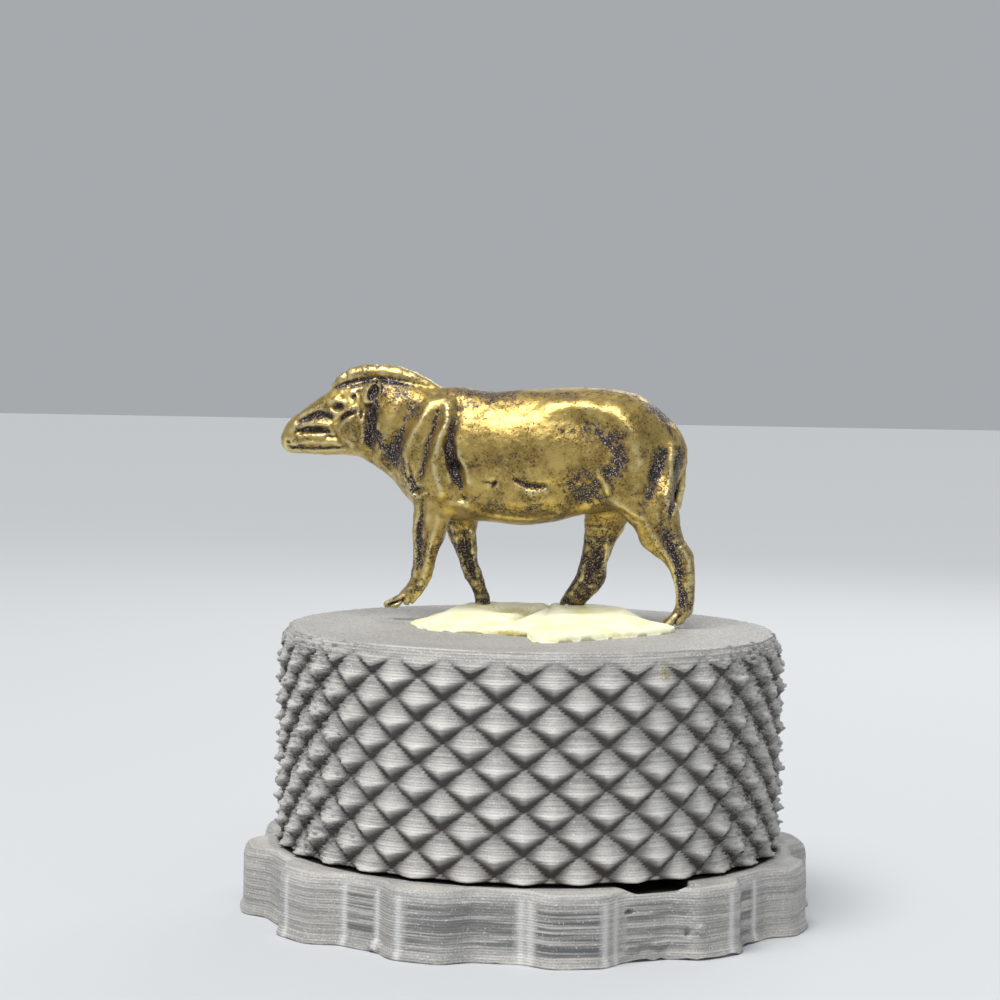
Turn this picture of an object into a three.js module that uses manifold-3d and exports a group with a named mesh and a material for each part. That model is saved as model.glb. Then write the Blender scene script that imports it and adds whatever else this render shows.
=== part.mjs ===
// A small cast brass tapir, walking, held by a pad of pale putty on a printed plinth:
// a drum with a diamond knurl, standing on a scalloped foot.
// Millimetres, +Z up. The origin is the centre of the foot's underside.
// The tapir looks towards -X, and its left side, which faces -Y, is the side that is seen.
import * as THREE from "three";
import { mergeVertices } from "three/addons/utils/BufferGeometryUtils.js";
import Module from "manifold-3d";

const wasm = await Module();
wasm.setup();

// Driving dimensions of the foot
const footRadius = 22.6;
const footHeight = 5.2;
const footLobes = 12;
const lobeDepth = 1.6;
const lobeSquareness = 0.8;
const notchBearing = -95.7;
const footTopRounding = 1.2;
const footFlare = 0.25;
const footFlareHeight = 0.9;

// Driving dimensions of the drum
const drumTipRadius = 20;
const drumHeight = 16.8;
const knurlDepth = 0.8;
const knurlColumns = 30;
const knurlPitch = 3.12;
const knurlBearing = -96.9;
const firstRowDrop = 2.15;
const drumBevelWidth = 1.25;
const drumBevelHeight = 2;
const seatInset = 1.9;
const seatHeight = 0.25;
const drumSides = 64;

// Driving dimensions of the putty pad
const puttyThickness = 1.1;
const puttyEdgeThickness = 0.35;
const puttyCentre = [0.9, -1.4];
const pocketClearance = 0.12;

// Driving dimensions of the tapir
const tapirLength = 33;
const tapirPlace = [-1.73, 4.63];
const tapirYaw = -8;

// The tapir's proportions below are given for a figure of this length
const drawnLength = 33;
const tapirSize = tapirLength / drawnLength;

const radians = THREE.MathUtils.degToRad;
const drumFloor = footHeight;
const drumTop = footHeight + drumHeight;

// Turns a closed geometry into a solid that can be cut and joined
function solidOf(geometry) {
  const bare = new THREE.BufferGeometry();
  bare.setAttribute("position", geometry.getAttribute("position"));
  if (geometry.index) bare.setIndex(geometry.index);
  const merged = mergeVertices(bare, 1e-4);
  const mesh = new wasm.Mesh({
    numProp: 3,
    vertProperties: merged.attributes.position.array,
    triVerts: new Uint32Array(merged.index.array),
  });
  return new wasm.Manifold(mesh);
}

// Turns a solid back into a geometry that a mesh can show
function geometryOf(solid) {
  const mesh = solid.getMesh();
  const corners = new Float32Array(mesh.numVert * 3);
  for (let i = 0; i < mesh.numVert; i += 1) {
    for (let axis = 0; axis < 3; axis += 1) {
      corners[3 * i + axis] = mesh.vertProperties[mesh.numProp * i + axis];
    }
  }
  const geometry = new THREE.BufferGeometry();
  geometry.setAttribute("position", new THREE.BufferAttribute(corners, 3));
  geometry.setIndex(new THREE.BufferAttribute(mesh.triVerts, 1));
  return geometry;
}

// A closed skin over rings of equal length, each a list of [x, y, z], with a centre point at each end
function skinOf(rings, lowCentre, highCentre) {
  const sides = rings[0].length;
  const points = [lowCentre, ...rings.flat(), highCentre];
  const last = points.length - 1;
  const at = (ring, side) => 1 + ring * sides + (side % sides);
  const faces = [];
  for (let side = 0; side < sides; side += 1) {
    faces.push(0, at(0, side + 1), at(0, side));
    faces.push(last, at(rings.length - 1, side), at(rings.length - 1, side + 1));
  }
  for (let ring = 0; ring + 1 < rings.length; ring += 1) {
    for (let side = 0; side < sides; side += 1) {
      const corners = [at(ring, side), at(ring, side + 1), at(ring + 1, side + 1), at(ring + 1, side)];
      faces.push(corners[0], corners[1], corners[2], corners[0], corners[2], corners[3]);
    }
  }
  const geometry = new THREE.BufferGeometry();
  geometry.setAttribute("position", new THREE.Float32BufferAttribute(points.flat(), 3));
  geometry.setIndex(faces);
  return geometry;
}

// The foot: a disc whose edge runs in and out in wide lobes, rounded above and flared below
function footGeometry() {
  const samples = footLobes * 8;
  const outline = (inset) => {
    const ring = [];
    for (let i = 0; i < samples; i += 1) {
      const angle = (i / samples) * 2 * Math.PI;
      const wave = Math.cos(footLobes * (angle - radians(notchBearing)));
      const notch = lobeDepth * THREE.MathUtils.smoothstep(wave, -lobeSquareness, lobeSquareness);
      const radius = footRadius - notch - inset;
      ring.push([radius * Math.cos(angle), radius * Math.sin(angle)]);
    }
    return ring;
  };
  const levels = [
    [0, 0],
    [footFlareHeight, footFlare],
  ];
  const arcSteps = 3;
  for (let i = 0; i <= arcSteps; i += 1) {
    const turn = (i / arcSteps) * (Math.PI / 2);
    const height = footHeight - footTopRounding * (1 - Math.sin(turn));
    levels.push([height, footFlare + footTopRounding * (1 - Math.cos(turn))]);
  }
  const rings = levels.map(([height, inset]) => outline(inset).map(([x, y]) => [x, y, height]));
  return skinOf(rings, [0, 0, 0], [0, 0, footHeight]);
}

// The knurl: rows of four-sided pyramids, every other row half a column round from the last
function knurlGeometry() {
  const halfPitch = knurlPitch / 2;
  const halfColumn = Math.PI / knurlColumns;
  const rows = Math.ceil(drumHeight / halfPitch) + 3;
  const firstRow = drumTop - firstRowDrop;
  const rings = [];
  for (let row = rows - 3; row >= -2; row -= 1) {
    const ring = [];
    for (let i = 0; i < 2 * knurlColumns; i += 1) {
      const isTip = (i + row) % 2 === 0;
      const radius = isTip ? drumTipRadius : drumTipRadius - knurlDepth;
      const angle = radians(knurlBearing) + i * halfColumn;
      ring.push([radius * Math.cos(angle), radius * Math.sin(angle), firstRow - row * halfPitch]);
    }
    rings.push(ring);
  }
  const sides = rings[0].length;
  const low = [0, 0, rings[0][0][2]];
  const high = [0, 0, rings.at(-1)[0][2]];
  const geometry = skinOf(rings, low, high);
  const faces = Array.from(geometry.index.array);
  // Each four-cornered patch is folded along its valley, from hollow to hollow
  const firstPatch = 6 * sides;
  for (let ring = 0; ring + 1 < rings.length; ring += 1) {
    for (let side = 0; side < sides; side += 1) {
      const row = rows - 3 - ring;
      const startsOnTip = (side + row) % 2 === 0;
      const at = (up, along) => 1 + (ring + up) * sides + ((side + along) % sides);
      const corners = [at(0, 0), at(0, 1), at(1, 1), at(1, 0)];
      const fold = startsOnTip ? [0, 1, 3, 1, 2, 3] : [0, 1, 2, 0, 2, 3];
      const start = firstPatch + 6 * (ring * sides + side);
      fold.forEach((corner, i) => {
        faces[start + i] = corners[corner];
      });
    }
  }
  geometry.setIndex(faces);
  return geometry;
}

// The drum: the knurled column, bevelled at the top and raised a little on a plain seat below
function drumGeometry() {
  const outer = drumTipRadius + 1;
  const topRadius = drumTipRadius - drumBevelWidth;
  const slope = drumBevelWidth / drumBevelHeight;
  const profile = [
    new THREE.Vector2(0, drumFloor),
    new THREE.Vector2(drumTipRadius - seatInset, drumFloor),
    new THREE.Vector2(drumTipRadius - seatInset, drumFloor + seatHeight),
    new THREE.Vector2(outer, drumFloor + seatHeight),
    new THREE.Vector2(outer, drumTop - (outer - topRadius) / slope),
    new THREE.Vector2(topRadius, drumTop),
    new THREE.Vector2(0, drumTop),
  ];
  const turned = new THREE.LatheGeometry(profile, drumSides);
  turned.rotateX(Math.PI / 2);
  return geometryOf(solidOf(knurlGeometry()).intersect(solidOf(turned)));
}

// Smooth joins and cuts between distances to shapes
function blend(a, b, reach) {
  const overlap = Math.max(reach - Math.abs(a - b), 0) / reach;
  return Math.min(a, b) - overlap * overlap * reach * 0.25;
}

// A value read off a list of [place, value] by a smooth curve through its points
function curveThrough(points) {
  return (place) => {
    let i = 0;
    while (i < points.length - 2 && place > points[i + 1][0]) i += 1;
    const [x0, y0] = points[i];
    const [x1, y1] = points[i + 1];
    const before = points[Math.max(i - 1, 0)];
    const after = points[Math.min(i + 2, points.length - 1)];
    const t = THREE.MathUtils.clamp((place - x0) / (x1 - x0), 0, 1);
    const m0 = i === 0 ? (y1 - y0) / (x1 - x0) : (y1 - before[1]) / (x1 - before[0]);
    const m1 = i === points.length - 2 ? (y1 - y0) / (x1 - x0) : (after[1] - y0) / (after[0] - x0);
    const h = x1 - x0;
    const a = (2 * t ** 3 - 3 * t ** 2 + 1) * y0 + (t ** 3 - 2 * t ** 2 + t) * h * m0;
    return a + (-2 * t ** 3 + 3 * t ** 2) * y1 + (t ** 3 - t ** 2) * h * m1;
  };
}

// The tapir's proportions: x runs from nose to rump, z up from the ground.
// The trunk, neck and head are one long form with a top, an underside and a half width
const trunkTop = curveThrough([
  [-18.9, 14.4], [-18.5, 15.4], [-17.4, 16.35], [-15.9, 17.5], [-14.6, 18.3], [-13, 18.9], [-11, 19.25],
  [-8.5, 19.0], [-6.6, 18.5], [-4.4, 18.6], [-1.5, 18.27], [0.8, 18.48], [6.3, 18.75], [8.6, 18.55],
  [10.1, 18.15], [11.4, 17.3], [12.6, 16.25], [13.4, 15.3], [13.9, 14.2],
]);
const trunkBottom = curveThrough([
  [-18.9, 13.6], [-18.4, 13.1], [-16, 12.95], [-13.2, 12.95], [-12.1, 12.7], [-11, 12.0], [-9.6, 11.0],
  [-8.4, 9.6], [-7, 8.5], [-4.5, 8.05], [-1.4, 7.85], [1, 7.68], [3.4, 8.0], [6, 8.7], [8.5, 9.2], [11, 9.5],
  [13, 10.6], [13.9, 12.8],
]);
const trunkWidth = curveThrough([
  [-18.9, 0.45], [-18.4, 0.85], [-17, 1.15], [-15.2, 1.45], [-13.6, 1.8], [-12.4, 2.05], [-10.5, 2.25],
  [-8.5, 2.9], [-6, 3.75], [-3, 4.15], [0.5, 4.45], [4, 4.3], [7.5, 3.95], [10.5, 3.65], [12.5, 2.7],
  [13.4, 1.7], [13.9, 0.6],
]);
const noseEnd = -18.9;
const rumpEnd = 13.9;

function trunk(x, y, z) {
  const place = THREE.MathUtils.clamp(x, noseEnd, rumpEnd);
  const top = trunkTop(place);
  const bottom = trunkBottom(place);
  const halfHeight = (top - bottom) / 2;
  const rise = z - (top + bottom) / 2;
  const fullness = 1 - (0.13 * THREE.MathUtils.clamp(rise / halfHeight, -1, 1));
  const halfWidth = trunkWidth(place) * fullness;
  const power = 2.25;
  const across = Math.abs(y / halfWidth) ** power + Math.abs(rise / halfHeight) ** power;
  const out = Math.hypot(y, rise);
  const depth = across > 1e-9 ? out * (1 - across ** (-1 / power)) : -Math.min(halfWidth, halfHeight);
  return Math.hypot(Math.max(depth, 0), x - place) + Math.min(depth, 0);
}

// A limb runs through points of [x, y, z, radius], and is flattened sideways by a share
function limb(points, flat = 1) {
  return (x, y, z) => {
    let nearest = Infinity;
    for (let i = 0; i + 1 < points.length; i += 1) {
      const [ax, ay, az, ar] = points[i];
      const [bx, by, bz, br] = points[i + 1];
      const ux = bx - ax;
      const uy = (by - ay) / flat;
      const uz = bz - az;
      const px = x - ax;
      const py = (y - ay) / flat;
      const pz = z - az;
      const share = (px * ux + py * uy + pz * uz) / (ux * ux + uy * uy + uz * uz);
      const t = THREE.MathUtils.clamp(share, 0, 1);
      const gap = Math.hypot(px - t * ux, py - t * uy, pz - t * uz) - (ar + t * (br - ar));
      nearest = blend(nearest, gap, 0.1);
    }
    return nearest;
  };
}

const legSpread = 2.4;
const near = -legSpread;
const far = legSpread;

const nearForeleg = limb([
  [-5.9, near + 0.3, 10.2, 1.75], [-6.1, near, 8.3, 1.4], [-6.24, near, 7, 1.29], [-6.5, near, 5.7, 1],
  [-6.64, near, 4.4, 0.84], [-6.8, near, 3.7, 0.84], [-7.0, near, 3.1, 0.72], [-7.4, near, 2.45, 0.7],
  [-7.9, near, 1.85, 0.7],
], 0.85);
const farForeleg = limb([
  [-4.4, far - 0.4, 9.6, 1.7], [-4.45, far, 7.6, 1.6], [-4.42, far, 6.7, 1.15], [-4.2, far, 6.1, 0.97],
  [-4.02, far, 5.45, 0.87], [-3.9, far, 4.8, 0.71], [-3.78, far, 4.15, 0.68], [-3.5, far, 3.5, 0.72],
  [-3.15, far, 2.85, 0.62], [-2.9, far, 2.2, 0.54], [-2.68, far, 1.6, 0.58], [-2.6, far, 1.1, 0.6],
], 0.9);
const farHindleg = limb([
  [7.6, far - 0.2, 9.6, 2.2], [7.2, far, 7.9, 1.65], [6.85, far, 6.6, 1.28], [6.65, far, 5.7, 1.15],
  [6.4, far, 4.9, 1.03], [6.3, far, 4.2, 1.1], [6.25, far, 3.7, 1.18], [5.95, far, 3.1, 1.1],
  [5.45, far, 2.45, 0.98], [4.97, far, 1.8, 0.91], [4.5, far, 1.2, 0.83],
], 0.72);
const nearHindleg = limb([
  [10.7, near + 0.4, 10.5, 2.4], [11.8, near, 8.6, 1.85], [12.1, near, 7.5, 1.7], [12.6, near, 6.75, 1.38],
  [13.1, near, 6.2, 1.17], [13.68, near, 5.5, 1.14], [13.88, near, 4.9, 1], [14.02, near, 4.3, 0.9],
  [14.14, near, 3.7, 0.8], [14.2, near, 3, 0.73], [14.22, near, 2.3, 0.72], [14.15, near, 1.6, 0.7],
  [13.8, near, 1, 0.66],
], 0.82);

// Toes run from the knuckle to the tip; each foot has a middle toe and one on either side
function toes(knuckle, reach, size) {
  const [x, y, z] = knuckle;
  return [-1, 0, 1].map((side) => {
    const length = side === 0 ? reach : 0.55 * reach;
    const tip = [x - length, y + 0.62 * size * side, z - 0.55, size * 0.42];
    return limb([[x, y + 0.3 * size * side, z, size * 0.62], tip]);
  });
}

const feet = [
  ...toes([-8.2, near, 1.75], 1.35, 0.72),
  ...toes([-2.8, far, 0.98], 0.45, 0.74),
  ...toes([4.3, far, 0.95], 0.8, 0.9),
  ...toes([13.5, near, 0.75], 1.05, 0.78),
];

const crest = limb([
  [-14.45, 0, 18.55, 0.42], [-13.9, 0, 18.98, 0.56], [-13, 0, 19.38, 0.64], [-12, 0, 19.58, 0.68],
  [-10.6, 0, 19.62, 0.68], [-9.4, 0, 19.5, 0.66], [-8.2, 0, 19.15, 0.62], [-7.1, 0, 18.65, 0.56],
  [-6.2, 0, 18.2, 0.5],
], 1.15);
const tail = limb([
  [12.3, 0, 15.7, 0.45], [13.05, 0, 14.6, 0.5], [13.38, 0, 13, 0.48], [13.4, 0, 11, 0.44],
  [13.2, 0, 9.6, 0.38], [12.9, 0, 8.7, 0.3],
]);
const jowl = limb([[-12.75, 0, 15.6, 1.05], [-12.65, 0, 14.45, 1.1]], 1.98);

// Carving on the flanks: strokes along [x, z] points, with a width and a height, where a hollow is negative
const strokes = [
  { name: "blade front edge", along: [[-6.3, 17.3], [-7.4, 15.1], [-8.1, 12], [-7.5, 10.3]], width: 0.8, rise: 0.4 },
  { name: "blade rear edge", along: [[-4.8, 17.2], [-5.3, 15], [-5.2, 12.8], [-5, 10.6]], width: 0.8, rise: 0.4 },
  { name: "hollow of the blade", along: [[-5.8, 16.2], [-6.3, 13.6], [-6.4, 11.5]], width: 0.6, rise: -0.25 },
  { name: "groove behind the shoulder", along: [[-3.8, 16.3], [-4.4, 14], [-4.3, 12.6], [-3.9, 11], [-3.2, 9.9]], width: 0.75, rise: -0.65 },
  { name: "hollow before the shoulder", along: [[-6.9, 16.9], [-8.2, 14.4], [-9.2, 12.9], [-9, 11.2]], width: 0.9, rise: -0.55 },
  { name: "neck muscle", along: [[-8.9, 16.6], [-9.3, 14.8]], width: 1.1, rise: 0.3 },
  { name: "groove behind the jowl", along: [[-11.5, 17.2], [-11.05, 15.5], [-10.9, 13.9], [-11.2, 12.7]], width: 0.65, rise: -0.6 },
  { name: "ribs", along: [[-1, 15.2], [3, 15]], width: 2.6, rise: 0.3 },
  { name: "belly ridge", along: [[-2.6, 9.7], [0.8, 9.5], [4.3, 9.9]], width: 0.6, rise: 0.22 },
  { name: "belly crease", along: [[0.5, 11.6], [1.7, 11.1], [3.2, 10.85], [3.8, 11.2]], width: 0.45, rise: -0.35 },
  { name: "flank hollow", along: [[5.5, 15.7], [7.3, 15.7], [8.2, 14.7], [8.9, 13.3]], width: 1.1, rise: -0.55 },
  { name: "stifle hollow", along: [[4.8, 10.4], [6.3, 10.2], [7.2, 10.7]], width: 1.2, rise: -0.5 },
  { name: "loin and hip", along: [[3.5, 17.2], [6.5, 17.4], [8.8, 16.7], [9.7, 15.1], [10.2, 12.9]], width: 1.1, rise: 0.35 },
  { name: "thigh front edge", along: [[7.8, 10.5], [9.2, 9.5], [10.4, 8.6]], width: 0.6, rise: 0.3 },
  { name: "thigh hollow", along: [[12.6, 13.7], [11.6, 12.6], [11.8, 11.2]], width: 0.85, rise: -0.6 },
  { name: "hamstring", along: [[13, 14.3], [13.1, 12], [12.8, 9.8]], width: 0.6, rise: 0.3 },
  { name: "cheek hollow", along: [[-17.1, 15.5], [-15.9, 15.95], [-14.6, 16.05]], width: 0.5, rise: -0.4 },
  { name: "lip", along: [[-17.2, 14.0], [-15.4, 14.05], [-13.9, 13.95]], width: 0.45, rise: 0.3 },
  { name: "brow", along: [[-14.8, 17.5], [-13.3, 17.5]], width: 0.5, rise: 0.25 },
];

function carving(x, y, z) {
  let rise = 0;
  for (const stroke of strokes) {
    let nearest = Infinity;
    for (let i = 0; i + 1 < stroke.along.length; i += 1) {
      const [ax, az] = stroke.along[i];
      const [bx, bz] = stroke.along[i + 1];
      const along = ((x - ax) * (bx - ax) + (z - az) * (bz - az)) / ((bx - ax) ** 2 + (bz - az) ** 2);
      const t = THREE.MathUtils.clamp(along, 0, 1);
      nearest = Math.min(nearest, Math.hypot(x - ax - t * (bx - ax), z - az - t * (bz - az)));
    }
    rise += stroke.rise * Math.exp(-((nearest / stroke.width) ** 2));
  }
  const halfWidth = trunkWidth(THREE.MathUtils.clamp(x, noseEnd, rumpEnd));
  return rise * THREE.MathUtils.smoothstep(Math.abs(y), 0.25 * halfWidth, 0.75 * halfWidth);
}

// The distance from a point to the tapir's skin, negative inside the metal
function tapirSkin(x, y, z) {
  let body = trunk(x, y, z);
  body = blend(body, jowl(x, y, z), 0.35);
  body = blend(body, crest(x, y, z), 0.3);
  body = blend(body, tail(x, y, z), 0.3);
  for (const leg of [nearForeleg, farForeleg, farHindleg, nearHindleg]) {
    body = blend(body, leg(x, y, z), 0.8);
  }
  body -= carving(x, y, z);
  for (const toe of feet) {
    body = blend(body, toe(x, y, z), 0.25);
  }
  return body;
}

// Places where the figure is sampled, closer together where the shape is fine
function sampledPlaces(stops) {
  const places = [stops[0][0]];
  for (let i = 0; i + 1 < stops.length; i += 1) {
    const [from, step] = stops[i];
    const to = stops[i + 1][0];
    const count = Math.max(1, Math.round((to - from) / step));
    for (let k = 1; k <= count; k += 1) places.push(from + ((to - from) * k) / count);
  }
  return places;
}

// Where two insides meet only at a corner of a grid square, the square's better half is filled,
// so that the skin never touches itself along an edge
function joinPinches(values, counts, index) {
  const pairs = [[[1, 0, 0], [0, 1, 0]], [[1, 0, 0], [0, 0, 1]], [[0, 1, 0], [0, 0, 1]]];
  let filled = true;
  while (filled) {
    filled = false;
    for (let i = 0; i + 1 < counts[0]; i += 1) {
      for (let j = 0; j + 1 < counts[1]; j += 1) {
        for (let k = 0; k + 1 < counts[2]; k += 1) {
          for (const [a, b] of pairs) {
            const here = index(i, j, k);
            const ahead = index(i + a[0], j + a[1], k + a[2]);
            const beside = index(i + b[0], j + b[1], k + b[2]);
            const across = index(i + a[0] + b[0], j + a[1] + b[1], k + a[2] + b[2]);
            const inside = [here, ahead, across, beside].map((corner) => values[corner] < 0);
            if (inside[0] !== inside[2] || inside[1] !== inside[3] || inside[0] === inside[1]) continue;
            const empty = inside[0] ? [ahead, beside] : [here, across];
            const fillable = values[empty[0]] < values[empty[1]] ? empty[0] : empty[1];
            values[fillable] = -1e-3;
            filled = true;
          }
        }
      }
    }
  }
}

// Wraps a skin of triangles round the inside of a distance function, on a grid of places
function wrap(distance, xs, ys, zs) {
  const index = (i, j, k) => (i * ys.length + j) * zs.length + k;
  const values = new Float64Array(xs.length * ys.length * zs.length);
  xs.forEach((x, i) => ys.forEach((y, j) => zs.forEach((z, k) => {
    values[index(i, j, k)] = distance(x, y, z) || 1e-9;
  })));
  joinPinches(values, [xs.length, ys.length, zs.length], index);
  const points = [];
  const pointOf = new Map();
  const corner = [0, 1, 2, 3, 4, 5, 6, 7].map((n) => [n & 1, (n >> 1) & 1, (n >> 2) & 1]);
  const edges = [];
  corner.forEach((a, m) => corner.forEach((b, n) => {
    const apart = Math.abs(a[0] - b[0]) + Math.abs(a[1] - b[1]) + Math.abs(a[2] - b[2]);
    if (m < n && apart === 1) edges.push([m, n]);
  }));
  for (let i = 0; i + 1 < xs.length; i += 1) {
    for (let j = 0; j + 1 < ys.length; j += 1) {
      for (let k = 0; k + 1 < zs.length; k += 1) {
        const value = corner.map(([a, b, c]) => values[index(i + a, j + b, k + c)]);
        const sum = new THREE.Vector3();
        let crossings = 0;
        for (const [m, n] of edges) {
          if (value[m] < 0 === value[n] < 0) continue;
          const t = value[m] / (value[m] - value[n]);
          const [a, b] = [corner[m], corner[n]];
          const place = [xs, ys, zs].map((grid, axis) => {
            const cell = [i, j, k][axis];
            return grid[cell + a[axis]] * (1 - t) + grid[cell + b[axis]] * t;
          });
          sum.add(new THREE.Vector3(...place));
          crossings += 1;
        }
        if (crossings === 0) continue;
        pointOf.set(index(i, j, k), points.length);
        points.push(settled(distance, sum.divideScalar(crossings)));
      }
    }
  }
  const faces = [];
  const addPatch = (around, flip) => {
    const four = around.map((cell) => pointOf.get(cell));
    if (flip) four.reverse();
    const across = points[four[0]].distanceTo(points[four[2]]);
    const other = points[four[1]].distanceTo(points[four[3]]);
    if (across < other) faces.push(four[0], four[1], four[2], four[0], four[2], four[3]);
    else faces.push(four[1], four[2], four[3], four[1], four[3], four[0]);
  };
  for (let i = 1; i + 1 < xs.length; i += 1) {
    for (let j = 1; j + 1 < ys.length; j += 1) {
      for (let k = 1; k + 1 < zs.length; k += 1) {
        const inside = values[index(i, j, k)] < 0;
        if (inside !== values[index(i + 1, j, k)] < 0) {
          addPatch([index(i, j - 1, k - 1), index(i, j, k - 1), index(i, j, k), index(i, j - 1, k)], !inside);
        }
        if (inside !== values[index(i, j + 1, k)] < 0) {
          addPatch([index(i - 1, j, k - 1), index(i - 1, j, k), index(i, j, k), index(i, j, k - 1)], !inside);
        }
        if (inside !== values[index(i, j, k + 1)] < 0) {
          addPatch([index(i - 1, j - 1, k), index(i, j - 1, k), index(i, j, k), index(i - 1, j, k)], !inside);
        }
      }
    }
  }
  const geometry = new THREE.BufferGeometry();
  geometry.setAttribute("position", new THREE.Float32BufferAttribute(points.flatMap((p) => p.toArray()), 3));
  geometry.setIndex(faces);
  return geometry;
}

// Moves a point of the rough skin onto the true one, along the steepest way
function settled(distance, point) {
  const step = 0.02;
  for (let turn = 0; turn < 3; turn += 1) {
    const { x, y, z } = point;
    const here = distance(x, y, z);
    const slope = new THREE.Vector3(
      distance(x + step, y, z) - distance(x - step, y, z),
      distance(x, y + step, z) - distance(x, y - step, z),
      distance(x, y, z + step) - distance(x, y, z - step),
    ).divideScalar(2 * step);
    const steepness = Math.max(slope.lengthSq(), 0.25);
    point.addScaledVector(slope, THREE.MathUtils.clamp(-here / steepness, -0.12, 0.12));
  }
  return point;
}

// A near-oval ear, cupped on the side that faces out
function earGeometry(side) {
  const ear = new THREE.SphereGeometry(1, 12, 8);
  const place = ear.getAttribute("position");
  for (let i = 0; i < place.count; i += 1) {
    const rim = Math.hypot(place.getX(i), place.getZ(i));
    if (place.getY(i) < 0) place.setY(i, place.getY(i) * 0.4 + 0.75 * (1 - rim));
  }
  ear.scale(0.75, 0.5, 1.15);
  ear.rotateY(radians(18));
  ear.rotateX(radians(-14));
  ear.translate(-11.25, -1.55, 18.1);
  if (side > 0) {
    ear.scale(1, -1, 1);
    const faces = Array.from(ear.index.array);
    for (let i = 0; i < faces.length; i += 3) [faces[i + 1], faces[i + 2]] = [faces[i + 2], faces[i + 1]];
    ear.setIndex(faces);
  }
  return ear;
}

// The tapir as one casting, in its own frame: it stands on z = 0 and looks towards -x
function tapirSolid() {
  const xs = sampledPlaces([[-20.2, 0.7], [-8.9, 0.78], [-2, 1.4], [4, 0.85], [16.2, 0.85]]);
  const ys = sampledPlaces([[-6.3, 0.9], [-3.6, 0.55], [-0.85, 0.57], [0.85, 0.55], [3.6, 0.9], [6.3, 0.9]]);
  const zs = sampledPlaces([[-1.2, 0.62], [2.5, 0.85], [8, 0.95], [13, 0.76], [21.6, 0.76]]);
  let solid = solidOf(wrap(tapirSkin, xs, ys, zs));
  for (const side of [-1, 1]) solid = solid.add(solidOf(earGeometry(side)));
  const aboveGround = new THREE.BoxGeometry(50, 20, 30).translate(0, 0, 15);
  return solid.intersect(solidOf(aboveGround)).scale([tapirSize, tapirSize, tapirSize]);
}

// The room that the far feet take in the putty, a little wider than the feet themselves
function footprints() {
  const xs = sampledPlaces([[-4.6, 0.45], [9, 0.45]]);
  const ys = sampledPlaces([[0.6, 0.45], [4.4, 0.45]]);
  const zs = sampledPlaces([[-0.6, 0.45], [3, 0.45]]);
  const roomy = (x, y, z) => {
    const gap = Math.max(tapirSkin(x, y, z), -0.05 - z) - pocketClearance;
    return Math.max(gap, z - 2.5, Math.abs(x - 2.2) - 6.3, Math.abs(y - 2.5) - 1.6);
  };
  const room = solidOf(wrap(roomy, xs, ys, zs)).scale([tapirSize, tapirSize, tapirSize]);
  return room.rotate([0, 0, tapirYaw]).translate([...tapirPlace, drumTop]);
}

// The putty: a flat lump pressed out by hand, in two lobes that meet in a notch in front.
// Its rim is at these bearings and distances from its middle
const puttyRim = [
  [-180, 10.1], [-158, 9.0], [-135, 7.9], [-112, 6.6], [-103, 7.4], [-97, 10.2], [-88, 11.2], [-72, 10.2],
  [-50, 9.4], [-28, 9.2], [-8, 9.9], [8, 8.8], [30, 9.0], [52, 9.6], [75, 10.6], [95, 11.4], [115, 11.0],
  [135, 10.4], [158, 10.6], [180, 10.1],
];

function puttyGeometry() {
  const sides = 40;
  const rimAt = curveThrough(puttyRim);
  const levels = [
    [1, 0],
    [0.985, 0.6 * puttyEdgeThickness],
    [0.93, puttyEdgeThickness],
    [0.72, 0.82 * puttyThickness],
    [0.4, puttyThickness],
  ];
  const rings = levels.map(([share, height]) => {
    const ring = [];
    for (let i = 0; i < sides; i += 1) {
      const bearing = -180 + (i * 360) / sides;
      const radius = share * rimAt(bearing);
      const x = puttyCentre[0] + radius * Math.cos(radians(bearing));
      const y = puttyCentre[1] + radius * Math.sin(radians(bearing));
      const thinner = 1 - 0.35 * THREE.MathUtils.smoothstep(-x, -1, 9) - 0.25 * THREE.MathUtils.smoothstep(-y, 0, 12);
      ring.push([x, y, drumTop + height * thinner]);
    }
    return ring;
  });
  const low = [...puttyCentre, drumTop];
  const high = [...puttyCentre, drumTop + 0.97 * puttyThickness];
  return geometryOf(solidOf(skinOf(rings, low, high)).subtract(footprints()));
}

const brass = new THREE.MeshStandardMaterial({ color: 0xb8963c, roughness: 0.3, metalness: 1 });
const printedGrey = new THREE.MeshStandardMaterial({ color: 0xa3a29f, roughness: 0.6, metalness: 0 });
const paleYellow = new THREE.MeshStandardMaterial({ color: 0xf2eeb4, roughness: 0.7, metalness: 0 });

function piece(name, geometry, material) {
  const mesh = new THREE.Mesh(geometry, material);
  mesh.name = name;
  return mesh;
}

const figurine = new THREE.Group();

const foot = piece("scalloped_foot", footGeometry(), printedGrey);
const drum = piece("knurled_drum", drumGeometry(), printedGrey);
const putty = piece("putty_pad", puttyGeometry(), paleYellow);

const tapir = piece("tapir", geometryOf(tapirSolid()), brass);
tapir.position.set(...tapirPlace, drumTop);
tapir.rotation.z = radians(tapirYaw);

figurine.add(foot, drum, putty, tapir);

export default figurine;
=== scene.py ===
# %% [markdown]
# # A small brass tapir on a printed plinth
# The real thing is four pieces: a brass casting 33 mm long, the lump of putty that holds two of its feet, and
# a grey plinth printed in two parts, a knurled drum on a scalloped foot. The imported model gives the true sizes
# and places. Here each piece is made again, finely enough to be looked at from close by.

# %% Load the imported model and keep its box
import math

import bpy
import numpy as np
from mathutils import Matrix, Vector


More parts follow.
